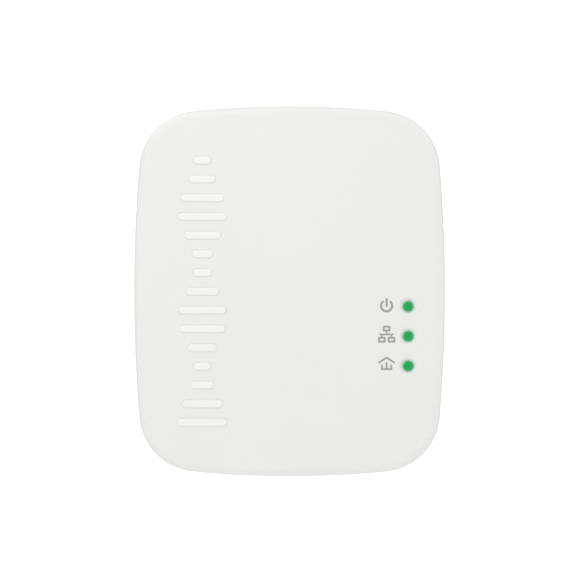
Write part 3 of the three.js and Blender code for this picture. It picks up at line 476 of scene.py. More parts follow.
def cover_rim():
    """The cover's skin round its rim, from the outer face to the inner face."""
    edge_y = SPLIT_Y - SPLIT_GAP / 2
    rebate_y = edge_y - LIP_LENGTH - SPLIT_GAP / 2
    rebate = LIP_INSET - 0.15
    return loft(
        rounded_edge(DRAFT, EDGE, 8, face_y)
        + [ring(DRAFT * 0.5, -40.0), ring(0.03, edge_y - 0.6), ring(0.0, edge_y - 0.15)]
        + [ring(0.04, edge_y - 0.04), ring(0.15, edge_y)]
        + [ring(rebate, edge_y), ring(rebate, rebate_y), ring(WALL, rebate_y)]
        + rounded_edge(WALL + DRAFT, EDGE, 5, lambda x, z: face_y(x, z) + WALL)[::-1],
        caps=False,
    )


def front_cover():
    outer = face_skin(DRAFT + EDGE, 0.0, relief(), SINK_DEPTH)
    inner = face_skin(WALL + DRAFT + EDGE, WALL, [], 0.0)
    tubes = [light_tube(z) for z in LIGHT_Z]
    piece = make_object("cover_shell", merge(outer, cover_rim(), inner, *tubes), join_within=2e-3)

    start = FRONT_Y + WALL - 0.3
    post, pilot, pad = 2.8, 1.35, 1.5
    post_profile = [(post, start), (post, POST_MEET_Y - 0.25), (post - 0.2, POST_MEET_Y - 0.05),
                    (pilot + 0.25, POST_MEET_Y - 0.05), (pilot, POST_MEET_Y - 0.3), (pilot, -37.0)]
    pad_profile = [(pad, start), (pad, BOARD_FRONT_Y - 0.1), (pad - 0.1, BOARD_FRONT_Y)]
    posts = [turned(post_profile, x, z) for x, z in POSTS]
    pads = [turned(pad_profile, x, CENTRE_Z + z, 24) for x in (-12, 12) for z in (-26.5, 26.5)]
    boolean(piece, ("UNION", merge(*posts, *pads)), ("DIFFERENCE", jack_opening()))
    # The raised bars get the glossy finish, whose lighter colour is a painted sheen.
    two_finishes(piece, "shell", "polished", lambda x, y, z: y < face_y(x, z) - BAR_HEIGHT * 0.5)
    soften(piece, 32, weighted=True)
    dress(piece, "case", "shell", "front_cover")


# ---------- walls and their openings
def side_wall(sign):
    """The left (-1) or right (1) wall as a function of y, z and depth below the surface."""
    def at(y, z, depth):
        radius = SIDE_RADIUS - rear_inset(y) - depth
        return sign * (HALF_X - SIDE_RADIUS + sqrt(radius ** 2 - (z - CENTRE_Z) ** 2)), y, z
    return at


def end_wall(sign):
    """The top (1) or bottom (-1) wall as a function of x, y and depth below the surface."""
    def at(x, y, depth):
        radius = TOP_RADIUS - rear_inset(y) - depth
        return x, y, CENTRE_Z + sign * (HALF_Z - TOP_RADIUS + sqrt(radius ** 2 - x ** 2))
    return at


def flat_wall(face):
    """A wall that faces backwards, as a function of x, z and depth below it."""
    return lambda x, z, depth: (x, face - depth, z)


def opening(line, wall, depth, edge=0.2):
    """A cutter for a hole whose mouth is rounded over. line(grow) is its outline, grown by grow."""
    overlap = 0.012
    rings = [[wall(u, v, outside) for u, v in line(edge + 0.4)] for outside in (-2.0, -0.3)]
    for across, rise in quarter(4, radians(20)):
        rings.append([wall(u, v, edge * across - overlap) for u, v in line(edge * rise)])
    rings.append([wall(u, v, depth) for u, v in line(0.0)])
    return loft(rings)


def slot_line(u, v, length, width, along_u=True):
    """The outline of a slot centred at u, v, as a function of its growth."""
    def line(grow):
        points = stadium(length + 2 * grow, width + 2 * grow)
        return moved(points if along_u else [(b, a) for a, b in points], u, v)
    return line


def circle_line(u, v, radius, count=32):
    return lambda grow: moved(circle(radius + grow, count), u, v)


def rectangle_line(u, v, width, height, corner):
    return lambda grow: moved(rounded_rectangle(width + 2 * grow, height + 2 * grow, corner + grow), u, v)


def rows(count):
    """Centres of a row of vents, about zero."""
    return [(i - (count - 1) / 2) * VENT["pitch"] for i in range(count)]


def vents():
    """Straight slots on top, and louvres that rise inwards on both sides."""
    top = [opening(slot_line(x, VENT["y"], VENT["length"], VENT["width"], False), end_wall(1), 4.0)
           for x in rows(VENT["count"])]
    louvres = []
    for sign, count, middle_z in (LOUVRE["left"], LOUVRE["right"]):
        def wall(y, z, depth, sign=sign):
            return side_wall(sign)(y, z + LOUVRE["rise"] * depth, depth)
        for dz in rows(count):
            line = slot_line(VENT["y"], middle_z + dz, VENT["length"], LOUVRE["width"])
            louvres.append(opening(line, wall, 3.2))
    return top + louvres


def jack_opening():
    """The hole underneath for the network jack, which crosses the joint line."""
    play = 0.3
    line = rectangle_line(JACK.middle.x, JACK.middle.y, JACK.size.x + 2 * play, JACK.size.y + 2 * play, 0.4)
    return opening(line, end_wall(-1), 5.0, edge=0.25)


# ---------- rear housing
def rear_skin():
    """The shell's skin: inner back, lip, joint edge, outer back."""
    edge_y = SPLIT_Y + SPLIT_GAP / 2
    lip_y = edge_y - LIP_LENGTH
    depth = BACK_Y - SPLIT_Y
    inner = [SPLIT_Y + (depth - WALL) * (1 - (1 - k / 10) ** 2) for k in range(10, -1, -1)]
    outer = [SPLIT_Y + depth * (1 - (1 - k / 22) ** 2) for k in range(1, 23)]
    rings = [ring(WALL + rear_inset(y), y) for y in inner]
    rings += [ring(WALL, lip_y), ring(LIP_INSET, lip_y), ring(LIP_INSET, edge_y)]
    rings += [ring(0.15, edge_y), ring(0.04, edge_y + 0.04), ring(0.0, edge_y + 0.15)]
    rings += [ring(rear_inset(y), y) for y in outer if y > edge_y + 0.3]
    return loft(rings)


def boss_line(inset):
    """The plug boss's outline: an elongated shape with slanted ends."""
    w, h = BOSS["width"] - inset, BOSS["height"] - inset
    f, n = BOSS["flat"] - inset / 2, BOSS["nose"] - inset / 4
    corners = [(w, -n), (w, n), (f, h), (-f, h), (-w, n), (-w, -n), (-f, -h), (f, -h)]
    return rounded_polygon(corners, BOSS["corner"], 8)


def plug_boss():
    """The boss, with a rounded end and a small flare at the back plane."""
    flare, edge = 0.5, 0.7
    rings = [at_y(boss_line(-flare), BACK_Y - 1.0)]
    rings += [at_y(boss_line(-flare * rise), BACK_Y + flare * across) for across, rise in quarter(4)]
    rings += [at_y(boss_line(edge * across), -edge * rise) for across, rise in quarter(6)]
    return loft(rings)


def rear_openings():
    """Every hole and recess in the rear shell's outside."""
    button_hole = slot_line(BUTTON.middle.y, BUTTON.middle.z, 9.8, 4.4, False)
    reset_hole = circle_line(RESET.middle.x, RESET.middle.y, 0.8, 24)
    label_bed = rectangle_line(0.0, LABEL.middle.z, LABEL.size.x + 0.4, LABEL.size.z + 0.4, 1.3)
    screw_holes = [opening(circle_line(x, z, 2.7), flat_wall(BACK_Y), 4.0, edge=0.3) for x, z in POSTS]
    pin_holes = [opening(circle_line(x, 0.0, 2.1), flat_wall(0.0), 5.0, edge=0.25) for x in (-PIN_X, PIN_X)]
    return merge(
        *vents(), *screw_holes, *pin_holes,
        opening(button_hole, side_wall(1), 5.0, edge=0.25),
        jack_opening(),
        opening(reset_hole, end_wall(-1), 4.0, edge=0.2),
        opening(label_bed, flat_wall(BACK_Y), 0.2, edge=0.08),
    )


def rear_housing():
    posts = [turned([(3.5, POST_MEET_Y + 0.05), (3.5, BACK_Y - 1)], x, z) for x, z in POSTS]
    rests = [turned([(2.0, -20.95), (2.0, BACK_Y - 1)], x, z, 24)
             for x, z in ((-12, 9), (12, 9), (-21, -9), (21, -9))]
    hollow = loft([at_y(boss_line(BOSS["wall"]), y) for y in (BACK_Y - WALL - 1, BOSS_FLOOR_Y)])
    clamp_post = turned([(2.3, -6.2), (2.3, -2.0)])
    clamp_bore = turned([(0.95, -7.4), (0.95, -3.4)], count=24)
    screw_bores = [turned([(1.5, -32.0), (1.5, -20.5)], x, z, 32) for x, z in POSTS]
    piece = make_object("rear_shell", rear_skin())
    boolean(
        piece,
        ("UNION", plug_boss()),
        ("UNION", merge(*posts, *rests)),
        ("DIFFERENCE", hollow),
        ("UNION", clamp_post),
        ("DIFFERENCE", merge(*screw_bores, clamp_bore)),
        ("DIFFERENCE", rear_openings()),
    )
    soften(piece, 32, weighted=True)
    dress(piece, "case", "shell", "rear_housing")


# ---------- button, lights and label
def pair_button():
    """The cap, with a rounded rim and a shallow dish, on a flange behind the wall."""
    length, width, rim = 9.4, 4.0, 0.45
    flange_thickness, flange_corner = 0.8, 0.8
    dish_depth, dish_reach_z, dish_reach_y = 0.3, 3.6, 1.5
    face_x, back_x = BUTTON.high.x, BUTTON.low.x

    def cap_ring(inset, x):
        points = []
        for u, v in stadium(length - 2 * inset, width - 2 * inset, 14):
            share = min((u / dish_reach_z) ** 2 + (v / dish_reach_y) ** 2, 1.0)
            hollow = dish_depth * (1 - share) ** 2 if inset >= rim else 0.0
            points.append((x - hollow, BUTTON.middle.y + v, BUTTON.middle.z + u))
        return points

    rings = [cap_ring(0.0, back_x + flange_thickness / 2)]
    rings += [cap_ring(rim * across, face_x - rim * rise) for across, rise in quarter(6)]
    rings += [cap_ring(rim + 0.2 * k, face_x) for k in range(1, 8)]
    plate = moved(rounded_rectangle(BUTTON.size.z, BUTTON.size.y, flange_corner),
                  BUTTON.middle.z, BUTTON.middle.y)
    flange = loft([[(x, y, z) for z, y in plate] for x in (back_x, back_x + flange_thickness)])
    piece = make_object("button_cap", loft(rings))
    boolean(piece, ("UNION", flange))
    soften(piece, 35, weighted=True)
    dress(piece, "button", "shell", "pair_button")


def light_guide():
    """The clear moulding: a web along the board and three posts with domed tips."""
    web_thickness, web_corner = 0.9, 0.5
    dome_rise, tip_sink, soft = 0.16, 0.4, 0.06
    back = PIPE.high.y
    plate = moved(rounded_rectangle(PIPE.size.x, PIPE.size.z, web_corner), LIGHT_X, PIPE.middle.z)
    web = loft([at_y(plate, y) for y in (back - web_thickness, back)])
    posts = []
    for z in LIGHT_Z:
        tip = face_y(LIGHT_X, z) + tip_sink
        radii = [POST_RADIUS - soft * 0.3, POST_RADIUS - soft, GLOW_RADIUS, 0.8, 0.65, 0.45, 0.25, 0.1, 0.0]
        dome = [(radius, tip + dome_rise * (radius / POST_RADIUS) ** 2) for radius in radii]
        side = [(POST_RADIUS, back - web_thickness / 2), (POST_RADIUS, tip + dome_rise + soft)]
        posts.append(turned(side + dome, LIGHT_X, z, 40))

    def in_tip(x, y, z):
        off_axis = min(hypot(x - LIGHT_X, z - light_z) for light_z in LIGHT_Z)
        return off_axis < GLOW_RADIUS and y < face_y(x, z) + tip_sink + dome_rise

    piece = make_object("light_guide", web)
    boolean(piece, ("UNION", merge(*posts)))
    two_finishes(piece, "light_pipe", "lit_tip", in_tip)
    soften(piece, 40)
    dress(piece, "case", "light_pipe", "light_pipe")


SYMBOL_X = 17.38


def power_symbol(z):
    """A ring open at the top with an upright bar in the gap."""
    radius, width, gap = 0.99, 0.38, radians(43)
    angles = [pi / 2 + gap + (2 * pi - 2 * gap) * i / 36 for i in range(37)]
    arc = moved([(radius * cos(a), radius * sin(a)) for a in angles], SYMBOL_X, z + 0.135)
    return strokes(arc, width) + strokes([(SYMBOL_X, z + 1.34), (SYMBOL_X, z + 0.12)], width)


def network_symbol(z):
    """Three boxes joined by a branching line."""
    box_width, box_height, width, thin = 1.02, 0.7, 0.31, 0.26
    left, right = SYMBOL_X - 0.866, SYMBOL_X + 0.866
    upper, lower, branch = z + 1.38, z - 0.62, z + 0.33
    lines = []
    for x, middle in ((SYMBOL_X, upper), (left, lower), (right, lower)):
        corners = moved(rectangle(box_width, box_height), x, middle)
        lines += strokes(corners + corners[:1], width)
    lines += strokes([(SYMBOL_X - 1.18, branch), (SYMBOL_X + 1.16, branch)], thin)
    lines += strokes([(SYMBOL_X, upper - box_height / 2), (SYMBOL_X, branch)], thin)
    for x in (left, right):
        lines += strokes([(x, branch), (x, lower + box_height / 2)], thin)
    return lines


def home_symbol(z):
    """A roof over a small base with a centre post."""
    width, roof, wall = 0.31, 1.38, 0.83
    eaves, ridge, base = z + 0.6, z + 1.5, z - 0.56
    left, right = SYMBOL_X - wall, SYMBOL_X + wall
    lines = strokes([(SYMBOL_X - roof, eaves), (SYMBOL_X, ridge), (SYMBOL_X + roof, eaves)], width)
    lines += strokes([(left, z + 0.1), (left, base), (right, base), (right, z + 0.1)], width)
    return lines + strokes([(SYMBOL_X, z + 0.57), (SYMBOL_X, base)], width)


def printed_symbols():
    """The three symbols, as ink that lies on the crowned face."""
    under, over = 0.004, 0.022
    drawings = {"power_symbol": power_symbol, "network_symbol": network_symbol, "home_symbol": home_symbol}
    for (name, draw), z in zip(drawings.items(), LIGHT_Z):
        piece = sheet(name, draw(z), lambda x, z: face_y(x, z) - over, lambda x, z: face_y(x, z) - under)
        dress(piece, "case", "shell", finish="ink")


def label_sheet():
    """The blank rating label: a thin sheet with a printed frame and two ruled lines."""
    margin, line_width, corner, edge = 0.9, 0.22, 1.2, 0.03
    width, height, middle_z, top = LABEL.size.x, LABEL.size.z, LABEL.middle.z, LABEL.high.y
    full = moved(rounded_rectangle(width, height, corner), 0.0, middle_z)
    smaller = rounded_rectangle(width - 2 * edge, height - 2 * edge, corner - edge * 0.6)
    rings = [at_y(full, LABEL.low.y), at_y(full, top - edge), at_y(moved(smaller, 0.0, middle_z), top)]
    piece = make_object("label_sheet", loft(rings))
    soften(piece, 30)
    dress(piece, "case", "label", "rating_label")

    corners = moved(rectangle(width - 2 * margin, height - 2 * margin), 0.0, middle_z)
    lines = strokes(corners + corners[:1], line_width)
    for z in (middle_z - height / 6, middle_z + height / 6):
        lines += strokes([(corners[0][0], z), (corners[1][0], z)], line_width * 0.6)
    print_piece = sheet("label_print", lines, lambda x, z: top + 0.003, lambda x, z: top + 0.012)
    dress(print_piece, "case", "label", finish="ink")


# ---------- plug and screws
def contact_pin(name, node):
    """A turned pin: tail, thin core with a collar, and a rounded full-width tip."""
    pin = Box(node)
    low, high = pin.low.y, pin.high.y
    radius, core, tail, collar, nose = 2.0, 1.6, 1.2, pin.size.x / 2, 1.7
    collar_from, collar_to = -4.3, -3.2
    sleeve_end = Box(node + "_sleeve").high.y + 0.05
    profile = [(0.0, low), (tail - 0.2, low), (tail, low + 0.2), (tail, low + 3), (core, low + 3),
               (core, collar_from), (collar - 0.1, collar_from), (collar, collar_from + 0.1),
               (collar, collar_to), (core, collar_to), (core, sleeve_end),
               (radius - 0.12, sleeve_end), (radius, sleeve_end + 0.12)]
    profile += [(radius * (1 - across) ** 0.8, high - nose * rise) for across, rise in quarter(10)]
    piece = make_object(name, turned(profile, pin.middle.x, 0.0, 64))
    soften(piece, 35)
    dress(piece, "case", "nickel", node)


def pin_insulator(name, node):
    """The moulded sleeve, with softened ends and a slight waist."""
    sleeve = Box(node)
    low, high, radius = sleeve.low.y, sleeve.high.y, sleeve.size.x / 2
    inner, soft, waist, waist_from = 1.65, 0.15, 0.05, 0.4
    profile = [(inner, low), (radius, low), (radius, waist_from)]
    for k in range(1, 8):
        share = k / 8
        y = waist_from + (high - soft - waist_from) * share
        profile.append((radius - waist * sin(pi * share), y))
    profile += [(radius - soft * across, high - soft * rise) for across, rise in quarter(4)]
    profile.append((inner, high))
    piece = make_object(name, turned(profile, sleeve.middle.x, 0.0, 64, closed=True))
    soften(piece, 35)
    dress(piece, "case", "sleeve", node)


def plus(a, w):
    """A plus-shaped outline with arms that reach a and are w wide to each side."""
    return [(w, w), (w, a), (-w, a), (-w, w), (-a, w), (-a, -w), (-w, -w), (-w, -a), (w, -a), (w, -w),
            (a, -w), (a, w)]


def pan_screw(name, node, shank, head_height, faces_back=True):
    """A screw with a domed pan head and a tapered cross recess."""
    box = Box(node)
    low, high, head = box.low.y, box.high.y, box.size.x / 2
    x, z = box.middle.x, box.middle.z
    seat, pitch, core = high - head_height, shank * 0.72, shank * 0.8
    thread_from = low + shank * 1.4
    profile = [(0.0, low), (shank * 0.35, low), (core, thread_from)]
    for k in range(int((seat - 0.3 - thread_from) / pitch)):
        y = thread_from + k * pitch
        profile += [(core, y + pitch * 0.2), (shank, y + pitch * 0.45), (shank, y + pitch * 0.55),
                    (core, y + pitch * 0.8)]
    profile += [(core, seat - 0.3), (shank, seat), (head - 0.1, seat), (head, seat + 0.1)]
    profile += [(head * (1 - across) ** 0.7, seat + head_height * (1 - rise) ** 1.2)
                for across, rise in quarter(8)[1:]]
    piece = make_object(name, turned(profile, count=40))
    recess = loft([at_y(plus(head * 0.22, head * 0.1), high - head_height * 0.6),
                   at_y(plus(head * 0.62, head * 0.15), high + 0.2)])
    boolean(piece, ("DIFFERENCE", recess))
    turn = Matrix.Rotation(radians(17.0 * (x + 3 * z)), 4, "Y")
    if not faces_back:
        about = Matrix.Translation(Vector((0.0, low + high, 0.0)) * MM)
        turn = about @ Matrix.Rotation(pi, 4, "Z") @ turn
    piece.data.transform(Matrix.Translation(Vector((x, 0.0, z)) * MM) @ turn)
    soften(piece, 30, weighted=True)
    dress(piece, "case", "steel", node)


# ---------- network jack
PORT = {"width": 11.9, "low_y": -32.6, "high_y": -25.2, "depth": 13.6, "latch_width": 6.2, "latch": 2.0}


def jack_body():
    """The jack's housing: a softened block with a stepped, chamfered port."""
    soft = 0.25
    bottom, top = JACK.low.z, JACK.high.z

    def section(inset, z):
        line = rounded_rectangle(JACK.size.x - 2 * inset, JACK.size.y - 2 * inset, 0.5)
        return [(x, y, z) for x, y in moved(line, JACK.middle.x, JACK.middle.y)]

    def port(width, low_y, high_y, depth, edge):
        line = rectangle_line(JACK.middle.x, (low_y + high_y) / 2, width, high_y - low_y, 0.15)
        return opening(line, lambda x, y, z: (x, y, bottom + z), depth, edge)

    low_y, latch, latch_width = PORT["low_y"], PORT["latch"], PORT["latch_width"]
    latch_depth = PORT["depth"] - 3
    piece = make_object("jack_body", loft([
        section(soft, bottom), section(0.07, bottom + 0.07), section(0.0, bottom + soft),
        section(0.0, top - soft), section(soft, top),
    ]))
    boolean(
        piece,
        ("DIFFERENCE", port(PORT["width"], low_y, PORT["high_y"], PORT["depth"], 0.3)),
        ("DIFFERENCE", port(latch_width, low_y - latch, low_y + 1, latch_depth, 0.25)),
        ("DIFFERENCE", port(latch_width * 0.55, low_y - latch - 0.7, low_y, latch_depth, 0.2)),
    )
    soften(piece, 30, weighted=True)
    dress(piece, "case", "black_plastic", "rj45_housing")


def wire(points, radius):
    """A round wire through points that lie in one plane of constant x."""
    points = [Vector(p) for p in points]
    across = Vector((1, 0, 0))
    rings = []
    for i, point in enumerate(points):
        along = (points[min(i + 1, len(points) - 1)] - points[max(i - 1, 0)]).normalized()
        up = along.cross(across)
        rings.append([point + across * u + up * v for u, v in circle(radius, 10)])
    return loft(rings)


def jack_wires():
    """The comb at the port's far end and its eight bent contact wires."""
    pitch, count, radius, bend = 1.02, 8, 0.2, 0.45
    comb_length, comb_height = 2.3, 1.9
    deep = JACK.low.z + PORT["depth"]
    wall = PORT["high_y"] - 0.1
    near = wall - 0.35
    far, turn_z = near - 2 * bend, deep - 10.6
    comb_line = moved(rectangle(PORT["width"] - 0.4, comb_length), 0.0, deep - 0.1 - comb_length / 2)
    comb = loft([at_y(comb_line, y) for y in (wall - comb_height, wall)])
    side = [(near, deep - 1.0), (near, turn_z)]
    for k in range(1, 8):
        angle = pi * k / 8
        side.append((near - bend + bend * cos(angle), turn_z - bend * sin(angle)))
    side += [(far, turn_z + 0.1), (far - 0.6, deep - 5.5), (wall - comb_height + 0.4, deep - 2.0)]
    places = [(i - (count - 1) / 2) * pitch for i in range(count)]
    piece = make_object("jack_wires", comb)
    boolean(piece, ("UNION", merge(*[wire([(x, y, z) for y, z in side], radius) for x in places])))

    def off_comb(x, y, z):
        return z <= deep - comb_length - 0.15 or abs(y - wall + comb_height / 2) >= 1.0

    two_finishes(piece, "black_plastic", "gold", off_comb)
    soften(piece, 40)
    dress(piece, "case", "gold", "rj45_contacts")


# ---------- materials
def linear(code):
    """A linear colour from an sRGB hex code."""
    values = [int(code[i:i + 2], 16) / 255 for i in (0, 2, 4)]
    return [*(v / 12.92 if v <= 0.04045 else ((v + 0.055) / 1.055) ** 2.4 for v in values), 1.0]


class Nodes:
    """A short way to build a node tree."""

    def __init__(self, tree):
        self.tree = tree
        self.shader = tree.nodes.get("Principled BSDF")
        coordinates = self.add("ShaderNodeTexCoord").outputs
        self.position, self.generated = coordinates["Object"], coordinates["Generated"]

    def give(self, socket, value):
        """Sets an input, or links it if the value is another node's output."""
        if isinstance(value, bpy.types.NodeSocket):
            self.tree.links.new(value, socket)
        else:
            socket.default_value = value

    def fill(self, node, **values):
        """Gives a node its attributes and inputs by name."""
        for key, value in values.items():
            if hasattr(node, key):
                setattr(node, key, value)
            else:
                self.give(node.inputs[key.replace("_", " ")], value)
        return node

    def add(self, kind, **values):
        return self.fill(self.tree.nodes.new(kind), **values)

    def noise(self, size, detail=3.0, stretch=(1.0, 1.0, 1.0)):
        """Noise with grains of about a size in mm; stretch squeezes them along an axis."""
        vector = self.add("ShaderNodeMapping", Vector=self.position, Scale=stretch).outputs["Vector"]
        node = self.add("ShaderNodeTexNoise", Vector=vector, Scale=1 / (size * MM), Detail=detail)
        return node.outputs["Fac"]

    def remap(self, source, start, end, low, high, **more):
        """A value that runs from low to high while the source runs from start to end."""
        node = self.add("ShaderNodeMapRange", Value=source, From_Min=start, From_Max=end,
                        To_Min=low, To_Max=high, **more)
        return node.outputs["Result"]

    def spread(self, noise, low, high):
        """Noise turned into low to high."""
        return self.remap(noise, 0.3, 0.7, low, high)

    def axis(self, vector, letter):
        return self.add("ShaderNodeSeparateXYZ", Vector=vector).outputs[letter]

    def below(self, source, limit):
        """One where the source is below a limit, else zero."""
        node = self.add("ShaderNodeMath", operation="LESS_THAN", Value=source)
        self.give(node.inputs[1], limit)
        return node.outputs["Value"]

    def mix(self, factor, first, second):
        """A colour between two colours."""
        node = self.add("ShaderNodeMix", data_type="RGBA")
        for index, value in ((0, factor), (6, first), (7, second)):
            self.give(node.inputs[index], value)
        return node.outputs[2]

    def tint(self, factor, code):
        """Lays another colour over the base colour."""
        base = self.shader.inputs["Base Color"]
        self.give(base, self.mix(factor, base.links[0].from_socket, linear(code)))

    def bump(self, height, distance):
        node = self.add("ShaderNodeBump", Height=height, Distance=distance * MM)
        self.fill(self.shader, Normal=node.outputs["Normal"])


def new_material(name):
    made = bpy.data.materials.new(name)
    made.use_nodes = True
    MATERIALS[name] = made
    return Nodes(made.node_tree)


def surface(name, code, roughness, metallic=0.0, shade=0.06, patch=6.0, grain=0.3, depth=0.01,
            stretch=(1.0, 1.0, 1.0), coat=0.0):
    """A finish with slow colour changes and a fine grain. patch, grain and depth are in mm."""
    nodes = new_material(name)
    darker, lighter = ([*(min(c * scale, 1.0) for c in linear(code)[:3]), 1.0]
                       for scale in (1 - shade, 1 + shade))
    colour = nodes.mix(nodes.spread(nodes.noise(patch), 0.0, 1.0), darker, lighter)
    grains = nodes.noise(grain, 4.0, stretch)
    rough = nodes.spread(grains, roughness * 0.88, min(roughness * 1.12, 1.0))
    nodes.fill(nodes.shader, Base_Color=colour, Roughness=rough, Metallic=metallic, Coat_Weight=coat)
    nodes.bump(grains, depth)
    return nodes


def light_plastics():
    """The light guide's clear plastic, with a painted green glow that rises towards its tips, and the lit
    green tips.
    """
    glow_from, glow_full = -42.0 * MM, -44.1 * MM
    fine = {"patch": 0.8, "grain": 0.2, "depth": 0.003}
    clear = surface("light_pipe", "aab3ad", 0.3, shade=0.05, **fine)
    # painted glow: the clear plastic emits green light, more strongly nearer the tips
    glow = clear.remap(clear.axis(clear.position, "Y"), glow_from, glow_full, 0.0, 1.0)
    clear.fill(clear.shader, Emission_Color=linear("3a8f5f"), Emission_Strength=glow)
    lit = surface("lit_tip", "07351a", 0.3, shade=0.1, **fine)
    lit.fill(lit.shader, Specular_IOR_Level=0.25, Emission_Color=linear("0fa250"),
             Emission_Strength=lit.spread(lit.noise(0.25), 0.8, 1.1))


def circuit_board():
    """Green solder mask with fine tracks under it and tinned holes."""
    nodes = surface("circuit_board", "1c5637", 0.35, shade=0.12, patch=4, grain=0.15)
    upright = nodes.add("ShaderNodeMapping", Vector=nodes.position, Rotation=(pi / 2, 0.0, 0.0))
    tracks = nodes.add("ShaderNodeTexBrick", Vector=upright.outputs["Vector"], Scale=1 / (3.2 * MM),
                       Mortar_Size=0.02)
    nodes.tint(tracks.outputs["Fac"], "2f7a4c")
    holes = nodes.add("ShaderNodeTexVoronoi", Vector=nodes.position, Scale=1 / (3.0 * MM))
    nodes.tint(nodes.below(holes.outputs["Distance"], 0.11), "b9b08c")


def wound(name, code, roughness, metallic, pitch, axis):
    """A winding: close turns of wire or tape across an axis, pitch mm apart."""
    nodes = surface(name, code, roughness, metallic, shade=0.1, patch=2, grain=0.2)
    turns = nodes.add("ShaderNodeTexWave", Vector=nodes.position, Scale=0.314 / (pitch * MM),
                      Distortion=0.4, bands_direction=axis)
    nodes.bump(turns.outputs["Fac"], pitch * 0.3)


def striped_can():
    """A capacitor's printed sleeve: dark, with one pale stripe down its side."""
    stripe_share = 0.16
    nodes = surface("capacitor_can", "1d2740", 0.3, shade=0.1, patch=3, grain=0.3, coat=0.3)
    nodes.tint(nodes.below(nodes.axis(nodes.generated, "X"), stripe_share), "aab2bd")


def make_materials():
    surface("shell", "f3f3f2", 0.5, shade=0.006, patch=14, grain=0.16, depth=0.006)
    # The bars' finish: real gloss from the low roughness, and a colour lighter than the shell's that is a
    # painted sheen.
    surface("polished", "fbfbfa", 0.22, shade=0.004, patch=10, grain=0.8, depth=0.002)
    surface("ink", "a2a3a3", 0.55, shade=0.03, patch=0.6, grain=0.1, depth=0.002)
    surface("label", "d9dadb", 0.42, shade=0.02, patch=5, grain=0.25, depth=0.003, coat=0.2)
    surface("nickel", "cfccc4", 0.2, 1.0, shade=0.05, patch=3, grain=0.25, depth=0.002, stretch=(1, 12, 1))
    surface("steel", "a9abb0", 0.32, 1.0, shade=0.08, patch=1.5, grain=0.2, depth=0.004)
    surface("gold", "d2a548", 0.22, 1.0, shade=0.08, patch=1.0, grain=0.2, depth=0.002)
    surface("sleeve", "222326", 0.5, shade=0.1, patch=4, grain=0.18, depth=0.008)
    surface("black_plastic", "18191b", 0.42, shade=0.12, patch=3, grain=0.12, depth=0.006)
    surface("wire_brown", "6b3d20", 0.4, shade=0.08, patch=3, grain=0.3)
    surface("wire_blue", "2a57ad", 0.4, shade=0.08, patch=3, grain=0.3)
    surface("epoxy", "d9d4c3", 0.45, shade=0.04, patch=4, grain=0.2)
    surface("thermal_pad", "93a8ba", 0.8, shade=0.05, patch=1.5, grain=0.15, depth=0.03)
    surface("heat_sink", "b7bac0", 0.38, 0.9, shade=0.06, patch=3, grain=0.15, stretch=(1, 1, 14))
    surface("crystal_can", "c4c5c6", 0.25, 1.0, shade=0.05, patch=1.5, grain=0.2, stretch=(10, 1, 1))
    surface("led_package", "e7e5d4", 0.35, shade=0.04, patch=0.6, grain=0.1)
    surface("foam", "1c1c1e", 0.95, shade=0.2, patch=1.0, grain=0.25, depth=0.08)
    surface("blue_disc", "2c5cac", 0.35, shade=0.1, patch=2, grain=0.3, coat=0.3)
    surface("film_capacitor", "d8b03a", 0.32, shade=0.05, patch=4, grain=0.25, coat=0.2)
    surface("ferrite", "33353a", 0.6, 0.2, shade=0.15, patch=2, grain=0.12, depth=0.02)
    surface("bobbin", "23262b", 0.45, shade=0.1, patch=2, grain=0.15)
    surface("insulation", "d8cfb2", 0.65, shade=0.05, patch=5, grain=0.2, stretch=(1, 1, 5))
    wound("copper", "b4693a", 0.3, 0.9, 0.9, "X")
    wound("tape", "d6a42f", 0.35, 0.0, 1.4, "Z")
    light_plastics()
    circuit_board()
    striped_can()


# ---------- CAD nodes that keep their own shape
def carried_over():
    """Gives each CAD node that stays its procedural material and softened edges."""
    edge, thin_edge, merge_within = 0.12, 0.03, 0.001
    thin = ("chip", "led", "insulation", "plunger", "crystal", "board_", "controller", "optocoupler")
    for part in frame["record"]["subparts"]:
        name = part["node"]
        if name in REPLACED:
            continue
        node = frame["nodes"][name]
        node.material_slots[0].material = MATERIALS[part["material_slot"]]
        weld = node.modifiers.new("weld", "WELD")
        weld.merge_threshold = merge_within * MM
        bevel = node.modifiers.new("edges", "BEVEL")
        bevel.width = (thin_edge if any(word in name for word in thin) else edge) * MM
        bevel.segments = 2
        bevel.limit_method = "ANGLE"
        bevel.angle_limit = radians(35)


make_materials()
front_cover()
rear_housing()
pair_button()
light_guide()
printed_symbols()
label_sheet()
for wire_name in ("line", "neutral"):
    contact_pin(f"{wire_name}_contact", f"{wire_name}_pin")
    pin_insulator(f"{wire_name}_insulator", f"{wire_name}_pin_sleeve")
for number in range(1, 5):
    pan_screw(f"shell_screw_{number}", f"housing_screw_{number}", 1.25, 1.7)
pan_screw("clamp_screw", "pin_clamp_screw", 0.8, 1.2, faces_back=False)
jack_body()
jack_wires()
carried_over()


# ---------- stage, light and camera, in metres
def put_in_scene(data, location, rotation):
    made = bpy.data.objects.new(data.name, data)
    made.location = location
    made.rotation_euler = rotation
    bpy.context.scene.collection.objects.link(made)
    return made


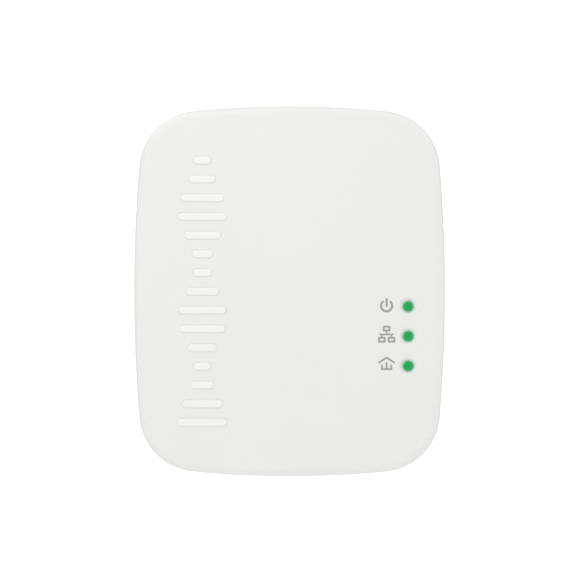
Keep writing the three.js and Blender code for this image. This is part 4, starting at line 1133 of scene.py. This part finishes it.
def camera():
    data = bpy.data.cameras.new("camera")
    data.lens, data.sensor_width = 600.0, 36.0
    data.clip_end = 100.0
    frame_width = 0.10268  # seen at the joint line, where the outline is widest
    right, up = -0.00083, 0.00116  # how far the camera is off the body's centre
    distance = data.lens / data.sensor_width * frame_width
    location = (right, SPLIT_Y * MM - distance, CENTRE_Z * MM + up)
    bpy.context.scene.camera = put_in_scene(data, location, (pi / 2, 0.0, 0.0))


def area_light(name, location, size, power, colour=(1.0, 1.0, 1.0)):
    """A soft round light that points at the case."""
    data = bpy.data.lights.new(name, "AREA")
    data.shape, data.size = "DISK", size
    data.energy, data.color = power, colour
    direction = Vector((0.0, -0.03, CENTRE_Z * MM)) - Vector(location)
    put_in_scene(data, location, direction.to_track_quat("-Z", "Y").to_euler())


def world(front=0.882, back=0.2, seen=1.3):
    """White all round, dimmer straight behind the object. The camera sees it as pure white."""
    made = bpy.data.worlds.new("studio")
    bpy.context.scene.world = made
    made.use_nodes = True
    nodes = Nodes(made.node_tree)
    lighting = nodes.remap(nodes.axis(nodes.generated, "Y"), 0.4, 1.0, front, back)
    is_camera = nodes.add("ShaderNodeLightPath").outputs["Is Camera Ray"]
    strength = nodes.remap(is_camera, 0.0, 1.0, lighting, seen)
    nodes.fill(made.node_tree.nodes["Background"], Color=(1.0, 1.0, 0.99, 1.0), Strength=strength)


def floor(height=-0.105, radius=0.5):
    """A pale disc under the object whose rim fades into the white around it."""
    disc = [(x / MM, y / MM, height / MM) for x, y in circle(radius, 96)]
    made = make_object("floor", (disc, [tuple(range(96))]))
    nodes = new_material("floor")
    reach = nodes.add("ShaderNodeVectorMath", operation="LENGTH", Vector=nodes.position)
    fade = nodes.remap(reach.outputs["Value"], radius * 0.15, radius * 0.98, 1.0, 0.0,
                       interpolation_type="SMOOTHSTEP")
    tone = nodes.mix(nodes.spread(nodes.noise(40.0), 0.0, 1.0), linear("fcfcfc"), linear("fefefe"))
    nodes.fill(nodes.shader, Roughness=0.7, Alpha=fade, Base_Color=tone)
    made.data.materials.append(MATERIALS["floor"])


camera()
world()
floor()
area_light("key", (-0.06, -0.16, 0.13), 0.1, 0.034, (0.95, 0.96, 1.0))
area_light("side_key", (0.42, 0.1, 0.34), 0.12, 0.16)
area_light("back_key", (-0.36, 0.5, 0.5), 0.3, 0.6)
bpy.context.scene.view_settings.view_transform = "Standard"

# ---------- end
bpy.context.view_layer.update()
